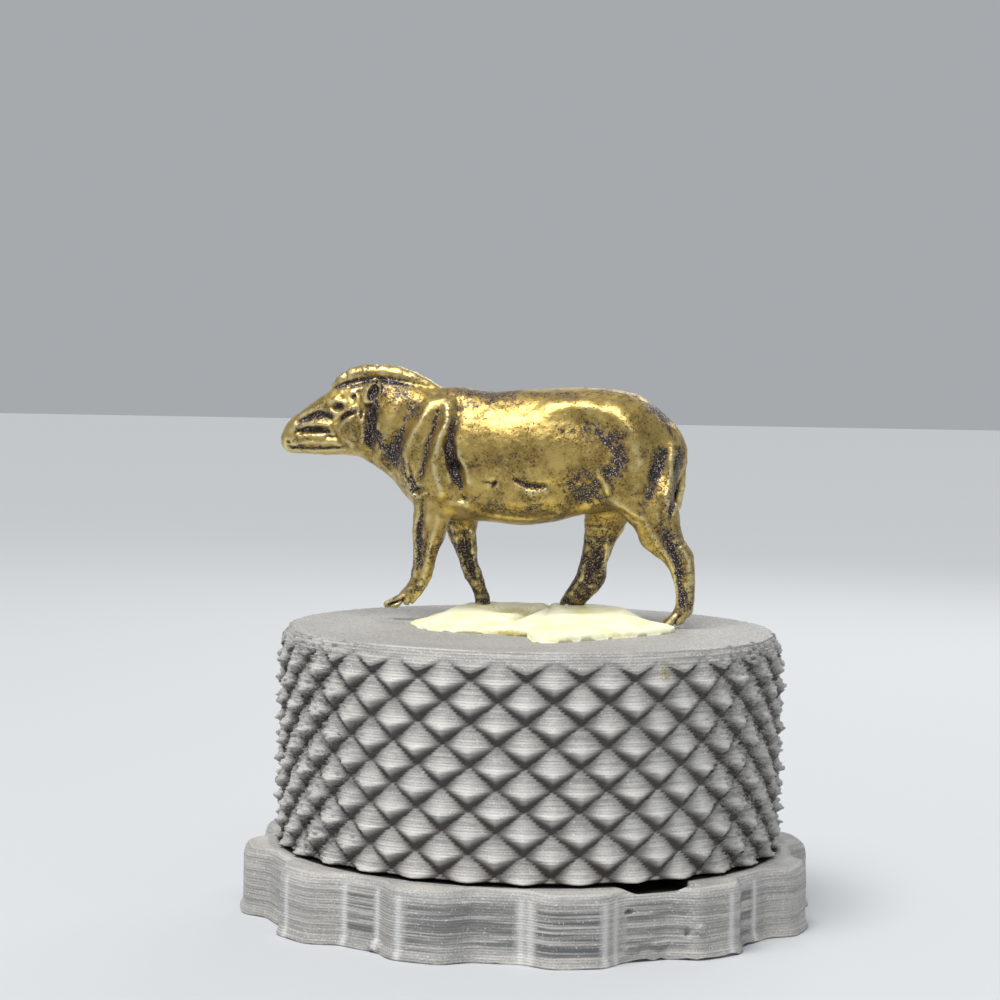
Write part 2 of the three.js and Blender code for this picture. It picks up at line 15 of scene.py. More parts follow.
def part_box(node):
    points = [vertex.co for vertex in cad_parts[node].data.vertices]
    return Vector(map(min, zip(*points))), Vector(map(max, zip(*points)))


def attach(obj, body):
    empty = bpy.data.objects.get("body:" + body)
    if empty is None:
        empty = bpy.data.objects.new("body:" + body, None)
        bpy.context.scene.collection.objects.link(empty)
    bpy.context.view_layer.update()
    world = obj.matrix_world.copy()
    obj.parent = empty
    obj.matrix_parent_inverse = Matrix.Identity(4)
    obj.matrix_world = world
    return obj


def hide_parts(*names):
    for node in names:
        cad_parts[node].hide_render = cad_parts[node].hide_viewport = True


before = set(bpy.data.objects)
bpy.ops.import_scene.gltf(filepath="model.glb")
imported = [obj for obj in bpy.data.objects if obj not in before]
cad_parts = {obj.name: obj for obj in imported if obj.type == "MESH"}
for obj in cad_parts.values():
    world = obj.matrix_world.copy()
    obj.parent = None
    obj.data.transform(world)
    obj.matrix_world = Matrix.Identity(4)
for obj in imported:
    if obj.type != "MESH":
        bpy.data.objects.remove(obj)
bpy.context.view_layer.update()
print("nodes:", sorted(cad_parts))

# %% [markdown]
# ## The camera
# The photo was taken with a long lens from a little above the plinth's top. A camera in Blender looks along its
# own -Z, so it is first stood up to look along +Y and then turned by the small angles that were measured: a
# nod down, a turn to the side, and a slight roll.

# %% Place the camera
IMAGE_WIDTH = 1000
SENSOR_MM = 36.0
FOCAL_PIXELS = 2593.2
CAMERA_DISTANCE = 0.20243
CAMERA_HEIGHT = 0.04181
CAMERA_NOD = 0.0491
CAMERA_TURN = 0.0130
CAMERA_ROLL = 0.0173

lens = bpy.data.cameras.new("camera")
lens.sensor_width = SENSOR_MM
lens.lens = lens.sensor_width * FOCAL_PIXELS / IMAGE_WIDTH
lens.clip_start = 0.01
camera = bpy.data.objects.new("camera", lens)
bpy.context.collection.objects.link(camera)
camera.matrix_world = (
    Matrix.Translation((0.0, -CAMERA_DISTANCE, CAMERA_HEIGHT))
    @ Matrix.Rotation(CAMERA_TURN, 4, "Z")
    @ Matrix.Rotation(math.pi / 2 - CAMERA_NOD, 4, "X")
    @ Matrix.Rotation(CAMERA_ROLL, 4, "Z")
)
bpy.context.scene.camera = camera
print("lens in mm:", round(lens.lens, 1))

# %% [markdown]
# ## Sizes
# Everything below is worked out in millimetres, as a maker would, and turned into metres when a mesh is made.
# What the frame already knows, such as the height of a joint between two pieces, is read from the frame.

# %% Read the main sizes from the frame
MM = 0.001
FOOT_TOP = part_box("scalloped_foot")[1][2] / MM
DRUM_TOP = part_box("knurled_drum")[1][2] / MM
FOOT_RADIUS = 22.6
DRUM_RADIUS = 20.0
LAYER = 0.2
print("foot top", round(FOOT_TOP, 2), "drum top", round(DRUM_TOP, 2))

# %% [markdown]
# ## Formulas as nodes
# Both printed parts follow a rule, so Geometry Nodes can make them. A long formula is tiring to wire by hand.
# This small class lets Python's own signs add the Math nodes, so that the script reads like the formula.

# %% A number that a node tree works out
class Reading:
    def __init__(self, tree, socket):
        self.tree = tree
        self.socket = socket

    def step(self, operation, *others):
        made = self.tree.nodes.new("ShaderNodeMath")
        made.operation = operation
        for socket, value in zip(made.inputs, (self, *others)):
            feed(self.tree, socket, value)
        return Reading(self.tree, made.outputs[0])

    def __add__(self, other):
        return self.step("ADD", other)

    def __sub__(self, other):
        return self.step("SUBTRACT", other)

    def __mul__(self, other):
        return self.step("MULTIPLY", other)

    def __truediv__(self, other):
        return self.step("DIVIDE", other)

    def __rsub__(self, other):
        return self * -1.0 + other

    def __rtruediv__(self, other):
        return self.step("POWER", -1.0) * other

    __radd__ = __add__
    __rmul__ = __mul__

    def past_nearest_whole(self):
        return self - self.step("ROUND")

    def from_nearest_whole(self):
        return self.past_nearest_whole().step("ABSOLUTE")

    def eased(self, low, high):
        """0 below low, 1 above high, and a smooth rise between."""
        made = self.tree.nodes.new("ShaderNodeMapRange")
        made.interpolation_type = "SMOOTHSTEP"
        feed(self.tree, made.inputs["Value"], self)
        feed(self.tree, made.inputs["From Min"], low)
        feed(self.tree, made.inputs["From Max"], high)
        return Reading(self.tree, made.outputs["Result"])


def feed(tree, socket, value):
    if isinstance(value, Reading):
        tree.links.new(value.socket, socket)
    elif isinstance(value, bpy.types.NodeSocket):
        tree.links.new(value, socket)
    elif value is not None:
        socket.default_value = value


def add_node(tree, kind, inputs=None, **settings):
    made = tree.nodes.new(kind)
    for name, value in settings.items():
        setattr(made, name, value)
    for name, value in (inputs or {}).items():
        feed(tree, made.inputs[name], value)
    return made


# %% [markdown]
# ## A tree for a turned and printed part
# A printer lays a round part down as a stack of thin rings. So the tree starts from a flat grid with one column
# for each step round and two rows for each layer, and rolls it up: a column becomes an angle, a row becomes a
# height, and a formula says how far from the middle each point lies. The two ends close on the axis.

# %% Start a tree that rolls a grid into a round part
TAU = 2 * math.pi


class TurnedPart:
    """A Geometry Nodes tree for a round part, with named inputs for its sizes."""

    def __init__(self, name, sizes, columns, rows):
        self.tree = bpy.data.node_groups.new(name, "GeometryNodeTree")
        self.tree.interface.new_socket("Geometry", in_out="OUTPUT", socket_type="NodeSocketGeometry")
        self.identifiers = {}
        for label, value in sizes.items():
            socket = self.tree.interface.new_socket(label, in_out="INPUT", socket_type="NodeSocketFloat")
            socket.default_value = value
            self.identifiers[label] = socket.identifier
        self.sizes = dict(sizes)
        self.entry = self.tree.nodes.new("NodeGroupInput")
        grid = add_node(
            self.tree, "GeometryNodeMeshGrid",
            {"Size X": 1.0, "Size Y": 1.0, "Vertices X": columns + 1, "Vertices Y": rows},
        )
        self.grid = grid.outputs["Mesh"]
        position = self.tree.nodes.new("GeometryNodeInputPosition")
        split = add_node(self.tree, "ShaderNodeSeparateXYZ", {"Vector": position.outputs[0]})
        self.angle = (Reading(self.tree, split.outputs["X"]) + 0.5) * TAU
        self.row = ((Reading(self.tree, split.outputs["Y"]) + 0.5) * (rows - 1)).step("ROUND")

    def size(self, label):
        return Reading(self.tree, self.entry.outputs[label])

    def wander(self, layer, length, seed):
        """Noise from about -0.5 to 0.5 that runs along a layer in stretches of this length."""
        turn = DRUM_RADIUS / length
        across = self.angle.step("COSINE") * turn
        along = self.angle.step("SINE") * turn
        place = add_node(self.tree, "ShaderNodeCombineXYZ", {"X": across, "Y": along, "Z": layer * 7.3 + seed})
        made = add_node(
            self.tree, "ShaderNodeTexNoise", {"Vector": place.outputs[0], "Scale": 1.0, "Detail": 2.0},
        )
        return Reading(self.tree, made.outputs["Fac"]) - 0.5

    def rolled(self, radius, height, marks, material):
        """Moves the grid's points to their places, notes the marks as attributes, and closes the seams."""
        tree = self.tree
        marked = self.grid
        for label, amount in marks.items():
            marked = add_node(
                tree, "GeometryNodeStoreNamedAttribute",
                {"Geometry": marked, "Name": label, "Value": amount}, data_type="FLOAT", domain="POINT",
            ).outputs[0]
        across = self.angle.step("COSINE") * radius * MM
        along = self.angle.step("SINE") * radius * MM
        place = add_node(tree, "ShaderNodeCombineXYZ", {"X": across, "Y": along, "Z": height * MM})
        moved = add_node(
            tree, "GeometryNodeSetPosition",
            {"Geometry": marked, "Position": place.outputs[0]},
        )
        closed = add_node(
            tree, "GeometryNodeMergeByDistance", {"Geometry": moved.outputs[0], "Distance": 0.0005 * MM},
        )
        real = add_node(tree, "GeometryNodeRealizeInstances", {"Geometry": closed.outputs[0]})
        smooth = add_node(tree, "GeometryNodeSetShadeSmooth", {"Geometry": real.outputs[0]})
        painted = add_node(
            tree, "GeometryNodeSetMaterial", {"Geometry": smooth.outputs[0], "Material": material},
        )
        exit_node = tree.nodes.new("NodeGroupOutput")
        tree.links.new(painted.outputs[0], exit_node.inputs["Geometry"])

    def mesh(self, name):
        """Runs the tree on an empty object and returns a plain mesh object with the result."""
        carrier = bpy.data.objects.new(name + "_carrier", bpy.data.meshes.new(name + "_carrier"))
        bpy.context.collection.objects.link(carrier)
        modifier = carrier.modifiers.new("rule", "NODES")
        modifier.node_group = self.tree
        for label, value in self.sizes.items():
            modifier[self.identifiers[label]] = value
        graph = bpy.context.evaluated_depsgraph_get()
        made = bpy.data.meshes.new_from_object(carrier.evaluated_get(graph), depsgraph=graph)
        made.name = name
        bpy.data.objects.remove(carrier)
        piece = bpy.data.objects.new(name, made)
        bpy.context.collection.objects.link(piece)
        print(name, "faces", len(made.polygons))
        return piece


# %% [markdown]
# ## Finishes: shared steps
# Every finish reads Object coordinates, scaled to millimetres, so that a grain of 0.3 mm is written as such and
# stays put on the piece whatever the camera does.

# %% Helpers for a finish
def new_finish(name):
    material = bpy.data.materials.new(name)
    material.use_nodes = True
    tree = material.node_tree
    shader = tree.nodes["Principled BSDF"]
    place = tree.nodes.new("ShaderNodeTexCoord")
    return material, tree, shader, place.outputs["Object"]


def in_millimetres(tree, place, stretch=(1.0, 1.0, 1.0)):
    """Object coordinates in millimetres, squeezed along each axis by a share."""
    scale = tuple(share / MM for share in stretch)
    return add_node(tree, "ShaderNodeMapping", {"Vector": place, "Scale": scale}).outputs["Vector"]


def noise(tree, place, size, detail=3.0, roughness=0.55):
    """Cloudy noise with blotches of about this size in millimetres."""
    made = add_node(
        tree, "ShaderNodeTexNoise",
        {"Vector": place, "Scale": 1.0 / size, "Detail": detail, "Roughness": roughness},
    )
    return Reading(tree, made.outputs["Fac"])


def blend_colour(tree, share, first, second):
    made = add_node(tree, "ShaderNodeMix", data_type="RGBA", blend_type="MIX")
    feed(tree, made.inputs["Factor"], share)
    feed(tree, made.inputs[6], first)
    feed(tree, made.inputs[7], second)
    return made.outputs[2]


def add_bump(tree, shader, height, distance, strength):
    """Raises the shading by height, times distance in millimetres."""
    made = add_node(
        tree, "ShaderNodeBump", {"Height": height, "Distance": distance * MM, "Strength": strength},
    )
    tree.links.new(made.outputs["Normal"], shader.inputs["Normal"])


def attribute(tree, name):
    made = add_node(tree, "ShaderNodeAttribute", attribute_name=name, attribute_type="GEOMETRY")
    return Reading(tree, made.outputs["Fac"])


# %% [markdown]
# ## The printed grey
# The plinth is a warm light grey plastic, laid down in lines 0.2 mm high. Each line catches the light a little
# differently, the valleys of the knurl hold brown dust and lie in shade, and the flat top sparkles. The layers
# themselves are in the mesh. The finish adds what is finer: streaks along the lines, with the light each line
# catches painted in, the dust and painted shade in the valleys, and painted glints for the sparkle. From marks
# that the tree leaves on the mesh, it also paints shade on the lower faces below the tips and in the gap under
# the drum, and a painted highlight on the tips.

# %% Make the grey print
DARK_STRIPE = (0.115, 0.115, 0.12, 1.0)
PAINTED_CORNER_HIGHLIGHT = (0.72, 0.715, 0.70, 1.0)
PAINTED_TIP_HIGHLIGHT = (0.78, 0.755, 0.715, 1.0)
PAINTED_GLINT_GREY = (0.86, 0.88, 0.90, 1.0)


def printed_grey(name, light, dark, dust_and_shade, stains=()):
    material, tree, shader, place = new_finish(name)
    even = in_millimetres(tree, place)
    lines = in_millimetres(tree, place, (0.16, 0.16, 4.6))
    bands = in_millimetres(tree, place, (0.05, 0.05, 1.9))
    streak = noise(tree, lines, 1.0, 3.0)
    band = noise(tree, bands, 1.0, 2.0)
    cloud = noise(tree, even, 3.5, 3.0)
    grit = noise(tree, even, 0.14, 2.0)
    fine = noise(tree, even, 0.45, 3.0, 0.7)
    hollow = attribute(tree, "hollow")
    striped = attribute(tree, "striped")
    pale = attribute(tree, "pale")
    line = attribute(tree, "line")
    rough = attribute(tree, "rough")
    flat = attribute(tree, "flat").eased(0.85, 1.0)
    drawn = streak * (1.0 - flat) + fine * flat
    tone_share = (drawn * 0.50 + cloud * 0.2 + grit * 0.30 - line * 0.05).eased(0.36, 0.60)
    tone = blend_colour(tree, tone_share * (1.0 - flat * 0.55), dark, light)
    stripes = (band + (streak - 0.5) * 0.35).eased(0.60, 0.44) * striped
    tone = blend_colour(tree, stripes * 0.85, tone, DARK_STRIPE)
    # Painted highlight: pale upright bands at the corners of the foot's faces
    tone = blend_colour(tree, (pale * (0.4 + grit)).step("MINIMUM", 0.8), tone, PAINTED_CORNER_HIGHLIGHT)
    # Real dust and painted shade together: darker in the knurl's valleys, on the lower faces below the tips, and
    # in the gap under the drum
    uneven_dust_and_shade = (cloud - 0.5) * 0.3 + (drawn - 0.5) * 0.5 + (grit - 0.5) * (0.25 + rough * 1.2)
    dust_and_shade_share = (hollow + uneven_dust_and_shade).eased(0.42, 1.15)
    tone = blend_colour(tree, dust_and_shade_share, tone, dust_and_shade)
    # Painted highlight: the knurl's tips are made paler, as where the light falls on them
    tip_highlight = (attribute(tree, "tip_highlight") + (drawn - 0.5) * 0.8).eased(0.20, 0.90)
    tone = blend_colour(tree, tip_highlight * 0.5, tone, PAINTED_TIP_HIGHLIGHT)
    for spot, reach, colour in stains:
        away = add_node(tree, "ShaderNodeVectorMath", {0: even, 1: spot}, operation="DISTANCE")
        patch = (Reading(tree, away.outputs["Value"]) + (grit - 0.5) * 1.5).eased(reach, 0.4 * reach)
        tone = blend_colour(tree, patch * 0.95, tone, colour)
    # Painted glints: pale specks scattered over the grey, most on the flat top, none where dust and shade lie
    painted_glints = (grit + flat * 0.045 + rough * 0.02).eased(0.66, 0.71) * (1.0 - dust_and_shade_share)
    speckled = blend_colour(tree, painted_glints * 0.7, tone, PAINTED_GLINT_GREY)
    feed(tree, shader.inputs["Base Color"], speckled)
    feed(tree, shader.inputs["Roughness"], 0.66 - drawn * 0.3)
    add_bump(tree, shader, drawn * 0.5 + grit * (0.7 + rough * 1.2) - line * 0.3, 0.07, 0.9)
    return material


# Stains are a place in millimetres, how far they reach, and their colour
OLIVE = (0.34, 0.27, 0.03, 1.0)
# The third colour of each grey is its dust and painted shade
grey_drum = printed_grey(
    "grey_print_drum", (0.58, 0.56, 0.525, 1.0), (0.33, 0.318, 0.30, 1.0), (0.06, 0.048, 0.038, 1.0),
    [
        ((10.1, -17.2, 20.6), 0.95, OLIVE),
        ((-15.1, -13.1, 19.9), 0.5, OLIVE),
        ((-12.9, -15.2, 19.3), 0.5, OLIVE),
    ],
)
# On the foot this dark colour is only the painted shadow under the drum's edge
grey_foot = printed_grey(
    "grey_print_foot", (0.56, 0.54, 0.505, 1.0), (0.32, 0.31, 0.295, 1.0), (0.02, 0.017, 0.015, 1.0),
    [((-11.4, -19.2, 0.55), 0.8, (0.62, 0.58, 0.30, 1.0))],
)
print("greys:", grey_drum.name, grey_foot.name)

# %% [markdown]
# ## The knurled drum
# The drum carries rows of small four-sided pyramids, every other row half a column round from the last. Their
# tips sit where two slanting counts are both whole numbers, so the distance from the nearest whole count says how
# far down a face a point is. One such formula replaces three hundred copies. Each layer takes the radius at its
# own middle, which gives the fine steps of a real print.

# %% Grow the drum
DRUM_COLUMNS = 512
SEAT_GAP = 0.25
DRUM_LAYERS = round((DRUM_TOP - FOOT_TOP - SEAT_GAP) / LAYER)
DRUM_SIZES = {
    "Tip radius": DRUM_RADIUS,
    "Seat radius": 18.1,
    "Floor": FOOT_TOP,
    "Top": DRUM_TOP,
    "Knurl depth": 0.88,
    "Knurl columns": 30.0,
    "Knurl pitch": 3.12,
    "First row drop": 2.15,
    "Bearing": math.radians(-96.9),
    "Bevel width": 1.25,
    "Bevel height": 2.0,
    "Ridge sharpness": 5.0,
    "Droop": 0.20,
    "Line depth": 0.06,
    "Long waver": 0.10,
    "Short waver": 0.20,
}
DRUM_TOP_RINGS = 4
RING_SPREAD = 0.05
TOP_EDGE_INSET = 0.1
ROUGH_SIDE_GAIN = 5.0
SHADE_BELOW_TIP = 0.55
DRUM_LAST_ROW = 2 * DRUM_LAYERS + 4 + DRUM_TOP_RINGS
drum_rule = TurnedPart("knurled_drum_rule", DRUM_SIZES, DRUM_COLUMNS, DRUM_LAST_ROW + 1)
wall_row = drum_rule.row - 3.0
layer_height = (drum_rule.size("Top") - drum_rule.size("Floor") - SEAT_GAP) / DRUM_LAYERS
on_wall = drum_rule.row.step("GREATER_THAN", 2.5)
height = drum_rule.size("Floor") + drum_rule.row.step("GREATER_THAN", 1.5) * SEAT_GAP
height = height + wall_row.step("MAXIMUM", 0.0).step("MINIMUM", 2.0 * DRUM_LAYERS) * layer_height * 0.5
is_edge = 1.0 - (wall_row * 0.5).from_nearest_whole() * 2.0

# %% [markdown]
# The knurl itself: two slanting counts, the distance from their nearest whole numbers, and a slightly rounded
# slope between valley and tip. Soft plastic droops while it is laid in mid-air, so each tip sags below the
# middle of its pyramid. The bevel then cuts off what stands above it. The two sides of the drum came out rough,
# so the noise along the layers grows there.

# %% The drum's radius
column_count = (drum_rule.angle - drum_rule.size("Bearing")) * drum_rule.size("Knurl columns") / TAU
row_count = (drum_rule.size("Top") - drum_rule.size("First row drop") - height) / drum_rule.size("Knurl pitch")
one_slant = (column_count + row_count).past_nearest_whole()
other_slant = (column_count - row_count).past_nearest_whole()
below_tip = one_slant - other_slant
level_face = (one_slant.step("ABSOLUTE").step("MAXIMUM", other_slant.step("ABSOLUTE"))) * 2.0
sag = (1.0 - level_face) * drum_rule.size("Droop")
rounding = drum_rule.size("Ridge sharpness")
one_slant = ((one_slant - sag).step("ABSOLUTE") * 2.0).step("POWER", rounding)
other_slant = ((other_slant + sag).step("ABSOLUTE") * 2.0).step("POWER", rounding)
down_face = (one_slant + other_slant).step("POWER", 1.0 / rounding)
slope = down_face.eased(-0.45, 1.25) * 1.18 - 0.14
knurled = drum_rule.size("Tip radius") - slope.step("MAXIMUM", 0.0) * drum_rule.size("Knurl depth")
bevel_slope = drum_rule.size("Bevel width") / drum_rule.size("Bevel height")
rim_radius = drum_rule.size("Tip radius") - drum_rule.size("Bevel width")
bevelled = rim_radius + (drum_rule.size("Top") - height) * bevel_slope
layer_number = (wall_row * 0.5).step("FLOOR")
unevenness = drum_rule.wander(layer_number, 3.0, 0.5) * drum_rule.size("Long waver")
rough_side = drum_rule.angle.step("COSINE").step("ABSOLUTE").eased(0.50, 0.88)
short_waver = drum_rule.size("Short waver") * (1.0 + rough_side * ROUGH_SIDE_GAIN)
unevenness = unevenness + drum_rule.wander(layer_number, 0.42, 40.5) * short_waver
wall = knurled.step("MINIMUM", bevelled) - is_edge * drum_rule.size("Line depth") + unevenness
outer = on_wall * wall + (1.0 - on_wall) * drum_rule.size("Seat radius")
top_ring = drum_rule.row - (2.0 * DRUM_LAYERS + 3.0)
on_top = top_ring.step("GREATER_THAN", 0.5)
top_radius = rim_radius - top_ring.step("POWER", 4.0) * RING_SPREAD
outer = outer * (1.0 - on_top) + (top_radius - drum_rule.size("Line depth") - TOP_EDGE_INSET) * on_top
is_middle = drum_rule.row.step("LESS_THAN", 0.5) + drum_rule.row.step("GREATER_THAN", DRUM_LAST_ROW - 0.5)
drum_radius = outer.step("MINIMUM", drum_rule.size("Tip radius")) * (1.0 - is_middle)
below_bevel = (bevelled - knurled).eased(0.0, 0.4)
# Dust and painted shade in the valleys, painted shade on the lower faces below each tip, and a painted shadow on
# the seat and underside in the gap above the foot
valley_and_shade_mark = (level_face + below_tip * SHADE_BELOW_TIP) * below_bevel + (1.0 - on_wall) * 2.0
drum_marks = {
    "hollow": valley_and_shade_mark * (1.0 - on_top),
    "flat": top_ring.step("GREATER_THAN", -0.5),
    "line": is_edge * on_wall,
    "rough": rough_side,
    # Where the painted highlight on the knurl's tips goes
    "tip_highlight": (1.0 - level_face).step("MAXIMUM", 0.0) * below_bevel * on_wall * (1.0 - on_top),
}
drum_rule.rolled(drum_radius, height, drum_marks, grey_drum)
drum = drum_rule.mesh("drum_print")

# %% [markdown]
# ## The scalloped foot
# The foot is a disc whose edge runs in and out twelve times, for a grip. A cosine with twelve waves says where
# the notches are, and an eased step turns the waves into wide, nearly flat lobes. The top edge is rounded, and
# the first layers spread a little, as they do when a print is pressed onto its bed.

# %% Grow the foot
FOOT_COLUMNS = 900
FOOT_LAYERS = round(FOOT_TOP / LAYER)
FOOT_WALL_ROWS = 2 * FOOT_LAYERS
FOOT_TOP_ROWS = 6
FOOT_CLEARANCE = 0.14
FOOT_SIZES = {
    "Radius": FOOT_RADIUS,
    "Height": FOOT_TOP,
    "Lobes": 12.0,
    "Lobe depth": 1.5,
    "Squareness": 0.75,
    "Bearing": math.radians(-95.7),
    "Flare": 0.25,
    "Flare height": 0.9,
    "Top rounding": 1.2,
    "Top ring": 20.8,
    "Top ring step": 0.5,
    "Line depth": 0.035,
    "Long waver": 0.05,
    "Short waver": 0.07,
}
foot_rule = TurnedPart("scalloped_foot_rule", FOOT_SIZES, FOOT_COLUMNS, FOOT_WALL_ROWS + FOOT_TOP_ROWS + 3)
side_row = (foot_rule.row - 1.0).step("MAXIMUM", 0.0).step("MINIMUM", float(FOOT_WALL_ROWS))
foot_height = side_row * foot_rule.size("Height") / float(FOOT_WALL_ROWS)
wave = ((foot_rule.angle - foot_rule.size("Bearing")) * foot_rule.size("Lobes")).step("COSINE")
notch = wave.eased(foot_rule.size("Squareness") * -1.0, foot_rule.size("Squareness"))
flared = foot_rule.size("Flare") * foot_height.eased(0.0, foot_rule.size("Flare height"))
into_rounding = (foot_height - foot_rule.size("Height")) / foot_rule.size("Top rounding") + 1.0
bend = into_rounding.step("MAXIMUM", 0.0).step("MINIMUM", 1.0)
rounded = foot_rule.size("Top rounding") * (1.0 - (1.0 - bend * bend).step("SQRT")) * 0.6
foot_edge = 1.0 - (side_row * 0.5).from_nearest_whole() * 2.0
foot_layer = (side_row * 0.5).step("FLOOR")
foot_waver = foot_rule.wander(foot_layer, 5.0, 0.5) * foot_rule.size("Long waver")
foot_waver = foot_waver + foot_rule.wander(foot_layer, 0.5, 30.5) * foot_rule.size("Short waver")
reach = foot_rule.size("Radius") - foot_rule.size("Lobe depth") * notch - flared - rounded
reach = reach - foot_edge * foot_rule.size("Line depth") + foot_waver - FOOT_CLEARANCE
top_row = foot_rule.row - float(FOOT_WALL_ROWS + 1)
on_top = top_row.step("GREATER_THAN", 0.5)
top_reach = foot_rule.size("Top ring") - (top_row - 1.0) * foot_rule.size("Top ring step")
reach = (reach * (1.0 - on_top) + top_reach * on_top).step("MINIMUM", reach)
is_axis = foot_rule.row.step("LESS_THAN", 0.5) + top_row.step("GREATER_THAN", FOOT_TOP_ROWS + 0.5)
# Painted shadow on the foot's top, where it runs under the drum's edge
shadow_under_drum_edge = (reach * -1.0).eased(-19.7, -19.1) * on_top
foot_marks = {
    "hollow": shadow_under_drum_edge * 2.0,
    "flat": top_row.step("GREATER_THAN", 1.5),
    "line": foot_edge * (1.0 - on_top),
}
foot_rule.rolled(reach * (1.0 - is_axis), foot_height, foot_marks, grey_foot)
foot = foot_rule.mesh("foot_print")

# %% [markdown]
# The real foot isn't as even as the rule. Under the drum's edge, on the right in front, its top is a step lower.
# There is a small hole and a chip in its wall, a few lumps, a tab of loose plastic, and a ragged lower edge.
# These marks are made by moving points of the finished mesh. Bearings are degrees round the axis, with -90
# towards the camera.

# %% Wear and print faults of the foot
foot_points = np.empty(len(foot.data.vertices) * 3, dtype=np.float32)
foot.data.vertices.foreach_get("co", foot_points)
foot_points = foot_points.reshape(-1, 3).astype(float) / MM
foot_reach = np.hypot(foot_points[:, 0], foot_points[:, 1])
foot_bearing = np.degrees(np.arctan2(foot_points[:, 1], foot_points[:, 0]))
foot_z = foot_points[:, 2].copy()
DEGREE = math.radians(FOOT_RADIUS)


def eased(value, low, high):
    t = np.clip((value - low) / (high - low), 0.0, 1.0)
    return t * t * (3.0 - 2.0 * t)


def spot(bearing, z, wide, tall):
    """A soft spot on the wall: 1 in its middle and 0 beyond its edge."""
    away = np.hypot((foot_bearing - bearing) * DEGREE / wide, (foot_z - z) / tall)
    return eased(away, 1.0, 0.55) * (foot_reach > 18.0)


# Each mark: bearing, height, half width, half height, and how far the wall moves out
WALL_MARKS = [
    (-69.3, 3.59, 0.42, 0.19, -0.55),
    (-57.4, 1.95, 0.22, 0.42, -0.40),
    (-55.4, 2.25, 0.50, 0.40, 0.24),
    (-59.4, 4.02, 0.14, 0.30, 0.12),
    (-68.7, 0.95, 0.85, 0.35, 0.22),
    (-62.6, 1.10, 0.80, 0.30, 0.16),
    (-101.5, 4.15, 0.34, 0.24, 0.18),
    (-120.9, 0.55, 0.80, 0.45, 0.26),
    (-122.2, 0.35, 0.35, 0.30, 0.18),
]
moved_out = sum(spot(b, z, w, t) * out for b, z, w, t, out in WALL_MARKS)
foot_reach_new = foot_reach + moved_out
STEP_BEARINGS = (-71.5, -53.4)
STEP_DEPTH = 0.60
under_drum = eased(foot_bearing, STEP_BEARINGS[0], STEP_BEARINGS[0] + 6.0) * (foot_bearing < STEP_BEARINGS[1])
lowered = under_drum * (foot_reach > 18.2) * eased(foot_reach, 21.2, 20.3) * (foot_z > FOOT_TOP - 0.3)
foot_points[:, 2] -= STEP_DEPTH * lowered
ragged = np.random.default_rng(21).uniform(0, 1, 240)
ragged = np.interp(foot_bearing, np.linspace(-180, 180, 240), ragged)
ragged *= 0.08 + 0.16 * eased(foot_bearing, -74, -66) * eased(foot_bearing, -30, -42)
foot_points[:, 2] += ragged * eased(foot_z, 0.35, 0.0) * (foot_reach > 19.0)
scale = foot_reach_new / np.maximum(foot_reach, 1e-6)
foot_points[:, :2] *= scale[:, None]
foot.data.vertices.foreach_set("co", (foot_points * MM).astype(np.float32).ravel())
foot.data.update()

# %% [markdown]
# The photo shows darker, streaked faces on the foot, with pale upright bands at the corners between them, where
# the light catches; the bands are painted highlights. Both are noted in attributes for the finish to use. The
# back isn't in the photo, so it repeats the front's marks.

# %% Note the streaked faces of the foot and the painted highlights at its corners
STREAKED = [
    (-129.6, -121.6, 0.9), (-113.2, -91.8, 0.8), (-88.6, -75.9, 1.0), (-70.2, -57.0, 0.75), (-45.5, -36.3, 0.8),
]
CORNER_HIGHLIGHT_BEARINGS = [-150.6, -142.8, -129.6, -121.0, -114.2, -91.0, -89.2, -75.2, -72.6, -48.0, -35.4]
CORNER_WIDTH = 0.7
HALF_TURN = 180.0
behind = np.where(foot_bearing > 0, foot_bearing - HALF_TURN, foot_bearing)
streaked = np.full(len(foot_points), 0.12)
for low, high, amount in STREAKED:
    inside = eased(behind, low, low + 1.0) * eased(behind, high, high - 1.0)
    streaked = np.maximum(streaked, amount * inside)
streaked *= eased(foot_z, 4.5, 3.9) * eased(foot_z, 0.5, 1.1)
# Painted highlights at the corners, as pale upright bands
pale = sum(np.exp(-(((behind - corner) / CORNER_WIDTH) ** 2)) for corner in CORNER_HIGHLIGHT_BEARINGS)
pale *= eased(foot_z, 4.9, 4.2) * (foot_reach > 18.0)
for label, amounts in (("striped", streaked), ("pale", pale)):
    layer = foot.data.attributes.new(label, "FLOAT", "POINT")
    layer.data.foreach_set("value", amounts.astype(np.float32))
print("foot marks:", len(WALL_MARKS), "streaked faces:", len(STREAKED), "pale corners:", len(CORNER_HIGHLIGHT_BEARINGS))

# %% [markdown]
# ## The tapir: a form built from distances
# The tapir was modelled in wax and cast in one, so it has no seams to build along. A distance field suits it: a
# rule says, for any point, how far it lies outside the brass. Soft joins melt a leg into the trunk, and hollows
# are pressed in by adding to the distance. At the end one skin is wrapped round all of it.
# x runs from nose to rump, y from the seen side to the far side, and z up from the ground, in millimetres.

# %% Curves and soft joins
TABLE_STEP = 0.02


